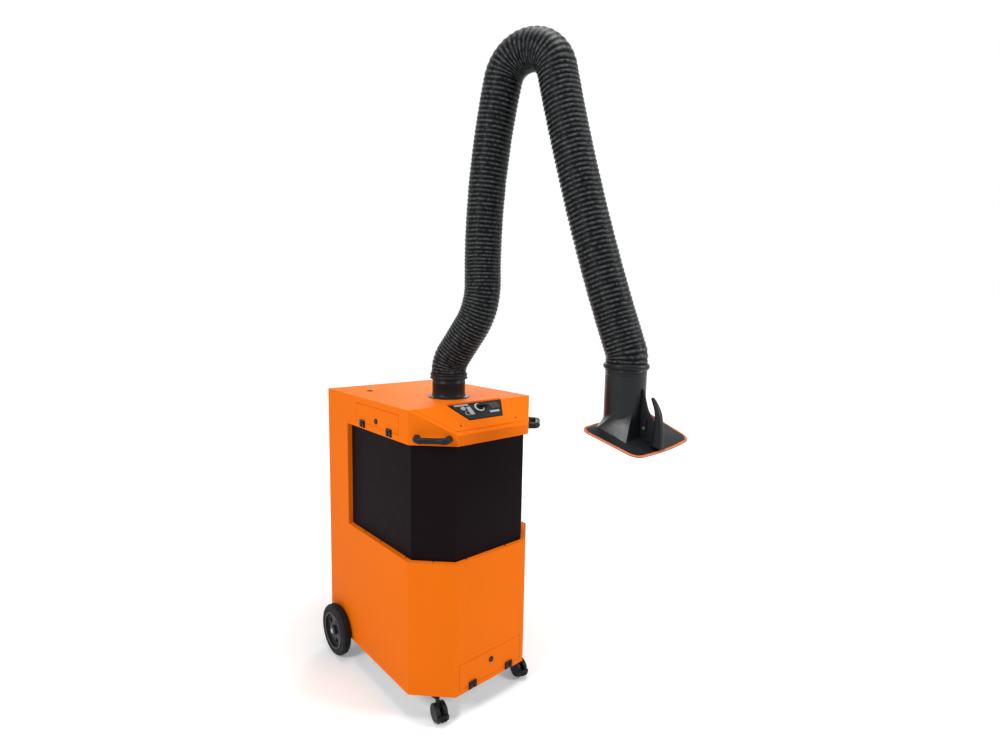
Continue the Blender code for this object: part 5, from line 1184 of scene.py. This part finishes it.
# %% Locks
LOCK_MIDDLE = 0.009
LOCK_HEAD = 0.004
LOCK_FACE = [
    (0.0056, 0.003), (0.0078, 0.0034), (0.0096, 0.0042), (0.0116, 0.0038), (0.0122, 0.0026),
    (0.0122, 0.0003), (0.0056, 0.0003),
]
LOCK_CORE = [(0.0001, 0.0031), (0.005, 0.0031), (0.0055, 0.0027), (0.0055, 0.0004), (0.0001, 0.0004)]
LOCK_SHAFT = [(0.0001, 0.0002), (0.0058, 0.0002), (0.0058, -0.0092), (0.0001, -0.0092)]
KEY_SLOT = ((-0.0006, -0.0032, 0.003), (0.0006, 0.0032, 0.00325))


def lock_frame(node_name, outward):
    """A frame on the door's face, in the middle of a lock's head, with the cam behind it along X."""
    low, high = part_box(node_name)
    across = Vector((0, 0, 1)).cross(outward)
    depth = abs((high - low).dot(outward)) / 2
    width = abs((high - low).dot(across)) / 2
    middle = (low + high) / 2 - across * (width - LOCK_MIDDLE)
    return facing(middle + outward * (depth - LOCK_HEAD), outward)


def lock(node_name, outward):
    """A round head on the door's face, a steel core with a key slot, and a shaft and cam behind."""
    place = lock_frame(node_name, outward)
    body, slot = BODY_OF_NODE[node_name], SLOT_OF_NODE[node_name]
    skinned_piece(node_name + "_head", turned(LOCK_FACE, 40, place), BLACK_PLASTIC, body, node_name)
    build = bmesh.new()
    loft(build, turned(LOCK_CORE, 32, place), closed_loop=True)
    loft(build, turned(LOCK_SHAFT, 24, place), closed_loop=True)
    block(build, (0.004, -0.004, -0.0063), (0.022, 0.004, -0.0034), place)
    piece(node_name + "_core", build, SCREW_STEEL, body, slot=slot)
    return block_piece(node_name + "_slot", [KEY_SLOT], place, BLACK_PLASTIC, body, slot=slot)


lock("hatch_lock", LEFTWARDS)
lock("drawer_lock", FORWARDS)
print("locks: 2")

# %% [markdown]
# A bow handle stands on each front corner, to push the machine by. Its bar is round and a little thinner
# than its bends, and it ends in two round feet. The bow is one sweep:
# a line with two quarter bends, and a radius for every point on it.

# %% Bow handles
HANDLE_X = 0.26621
HANDLE_Y = -0.36921
HANDLE_Z = 1.112
HANDLE_HALF_SPAN = 0.065
HANDLE_REACH = 0.04
HANDLE_BEND = 0.02
HANDLE_SIDES = 28
BEND_STEPS = 8
HANDLE_FOOT = [
    (0.0004, 0.015), (0.005, 0.015), (0.0062, 0.0142), (0.007, 0.0136), (0.015, 0.0134),
    (0.02, 0.0134),
]
HANDLE_BAR = [(-0.043, 0.0136), (-0.041, 0.0122), (-0.012, 0.012)]


def handle_line():
    """Points (along, out, radius) from one foot of the bow to the other."""
    half = [(-HANDLE_HALF_SPAN, z, radius) for z, radius in HANDLE_FOOT]
    for k in range(1, BEND_STEPS + 1):
        angle = pi / 2 * k / BEND_STEPS
        along = -HANDLE_HALF_SPAN + HANDLE_BEND * (1 - cos(angle))
        out = HANDLE_REACH - HANDLE_BEND * (1 - sin(angle))
        half.append((along, out, 0.0134 + 0.0002 * k / BEND_STEPS))
    half += [(along, HANDLE_REACH, radius) for along, radius in HANDLE_BAR]
    return half + [(-x, z, radius) for x, z, radius in reversed(half)]


def handle(node_name, side):
    """A bow handle on a chamfer, in the place of its solid."""
    place = facing((side * HANDLE_X, HANDLE_Y, HANDLE_Z), (side, -1, 0))
    line = handle_line()
    rings = []
    for i, (x, z, radius) in enumerate(line):
        before = line[max(0, i - 1)]
        after = line[min(len(line) - 1, i + 1)]
        way = Vector((after[0] - before[0], 0, after[1] - before[1])).normalized()
        across = Vector((way.z, 0, -way.x))
        section = [c * across + Vector((x, s, z)) for c, s in circle(radius, HANDLE_SIDES)]
        rings.append([place @ point for point in section])
    look = (BLACK_PLASTIC, "cabinet", node_name, radians(40))
    return skinned_piece(node_name + "_bow", rings, *look, closed_loop=False)


handle("handle_left", -1)
handle("handle_right", 1)
print("handles: span", 2 * HANDLE_HALF_SPAN, "m")

# %% [markdown]
# The back isn't in the photograph, so it stays plain: a screwed panel with nine air slots.
# A pressed hood over each slot keeps fingers out. It is a bent strip, drawn as a side outline.

# %% Rear louvres and screws
REAR_FACE = REAR_Y + 0.0033
REAR_LOW, REAR_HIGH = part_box("rear_panel")
REAR_SCREW_IN = 0.016
REAR_SCREW_DOWN = 0.02
LOUVRES_EACH_WAY = 4
LOUVRE_PITCH = 0.022
LOUVRE_MIDDLE = 0.245
LOUVRE_HALF = 0.153
LOUVRE = [
    (0.0068, 0.0001), (0.0064, 0.0016), (-0.001, 0.0072), (-0.0042, 0.008), (-0.0042, 0.007),
    (-0.0015, 0.0062), (0.0052, 0.0004),
]


def louvres():
    """Nine pressed hoods over the air slots."""
    build = bmesh.new()
    for k in range(-LOUVRES_EACH_WAY, LOUVRES_EACH_WAY + 1):
        sideways = facing((0, REAR_FACE, LOUVRE_MIDDLE + k * LOUVRE_PITCH), REARWARDS) @ SIDEWAYS
        extrude_outline(build, LOUVRE, -LOUVRE_HALF, LOUVRE_HALF, sideways)
    return soften(piece("rear_louvres", build, ORANGE_COAT, "cabinet"), 0.0004)


louvres()
rear_screws = []
for z in (REAR_LOW.z + REAR_SCREW_DOWN, (REAR_LOW.z + REAR_HIGH.z) / 2, REAR_HIGH.z - REAR_SCREW_DOWN):
    for x in (REAR_LOW.x + REAR_SCREW_IN, REAR_HIGH.x - REAR_SCREW_IN):
        rear_screws.append(facing((x, REAR_FACE, z), REARWARDS))
screw_row("rear_screws", rear_screws, 0.0045)
print("rear: 9 louvres,", len(rear_screws), "screws")

# %% [markdown]
# The rear wheels are solid rubber tyres on moulded rims. Two grooves run round the tread,
# and two raised rings stand on the side wall. A tyre is a body of rotation, so one closed profile makes it.
# The rims, the casters and the other small fittings keep their solids' shape, with soft edges.

# %% Wheels and casters
RIM_GREY = finish("rim_grey", (0.016, 0.016, 0.018), 0.12, (0.36, 0.5), (500, 0.00025), shine=0.3)
WHEEL_INNER_X = 0.3435
TYRE_PROFILE = [
    (0.0926, 0.004), (0.0945, 0.0012), (0.1, 0.0004), (0.112, 0.0004), (0.1185, 0.0024),
    (0.1225, 0.0064), (0.1246, 0.011), (0.125, 0.015), (0.1212, 0.0156), (0.1212, 0.018),
    (0.125, 0.0186), (0.125, 0.0264), (0.1212, 0.027), (0.1212, 0.0294), (0.125, 0.03),
    (0.1246, 0.034), (0.1225, 0.0386), (0.119, 0.0422), (0.115, 0.0438), (0.1136, 0.0449),
    (0.111, 0.0449), (0.1096, 0.0438), (0.103, 0.0436), (0.1018, 0.0447), (0.0985, 0.0447),
    (0.0972, 0.0436), (0.0945, 0.0432), (0.0926, 0.041),
]


def tyre(side_name, side):
    """A grooved tyre in the place of its solid."""
    low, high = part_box("tyre_" + side_name)
    middle = (low + high) / 2
    place = facing((side * WHEEL_INNER_X, middle.y, middle.z), (side, 0, 0))
    look = (TYRE_RUBBER, "wheel_" + side_name, "tyre_" + side_name, radians(40))
    return skinned_piece("tyre_tread_" + side_name, turned(TYRE_PROFILE, 128, place), *look)


for side_name, side in (("left", -1), ("right", 1)):
    tyre(side_name, side)
    softened_copy("rim_" + side_name, 0.001, RIM_GREY)
    for fitting in ("caster_swivel_", "caster_wheels_", "caster_pedal_"):
        softened_copy(fitting + side_name, 0.0012)
print("wheels: 2 tyres, 2 rims, 2 twin casters")
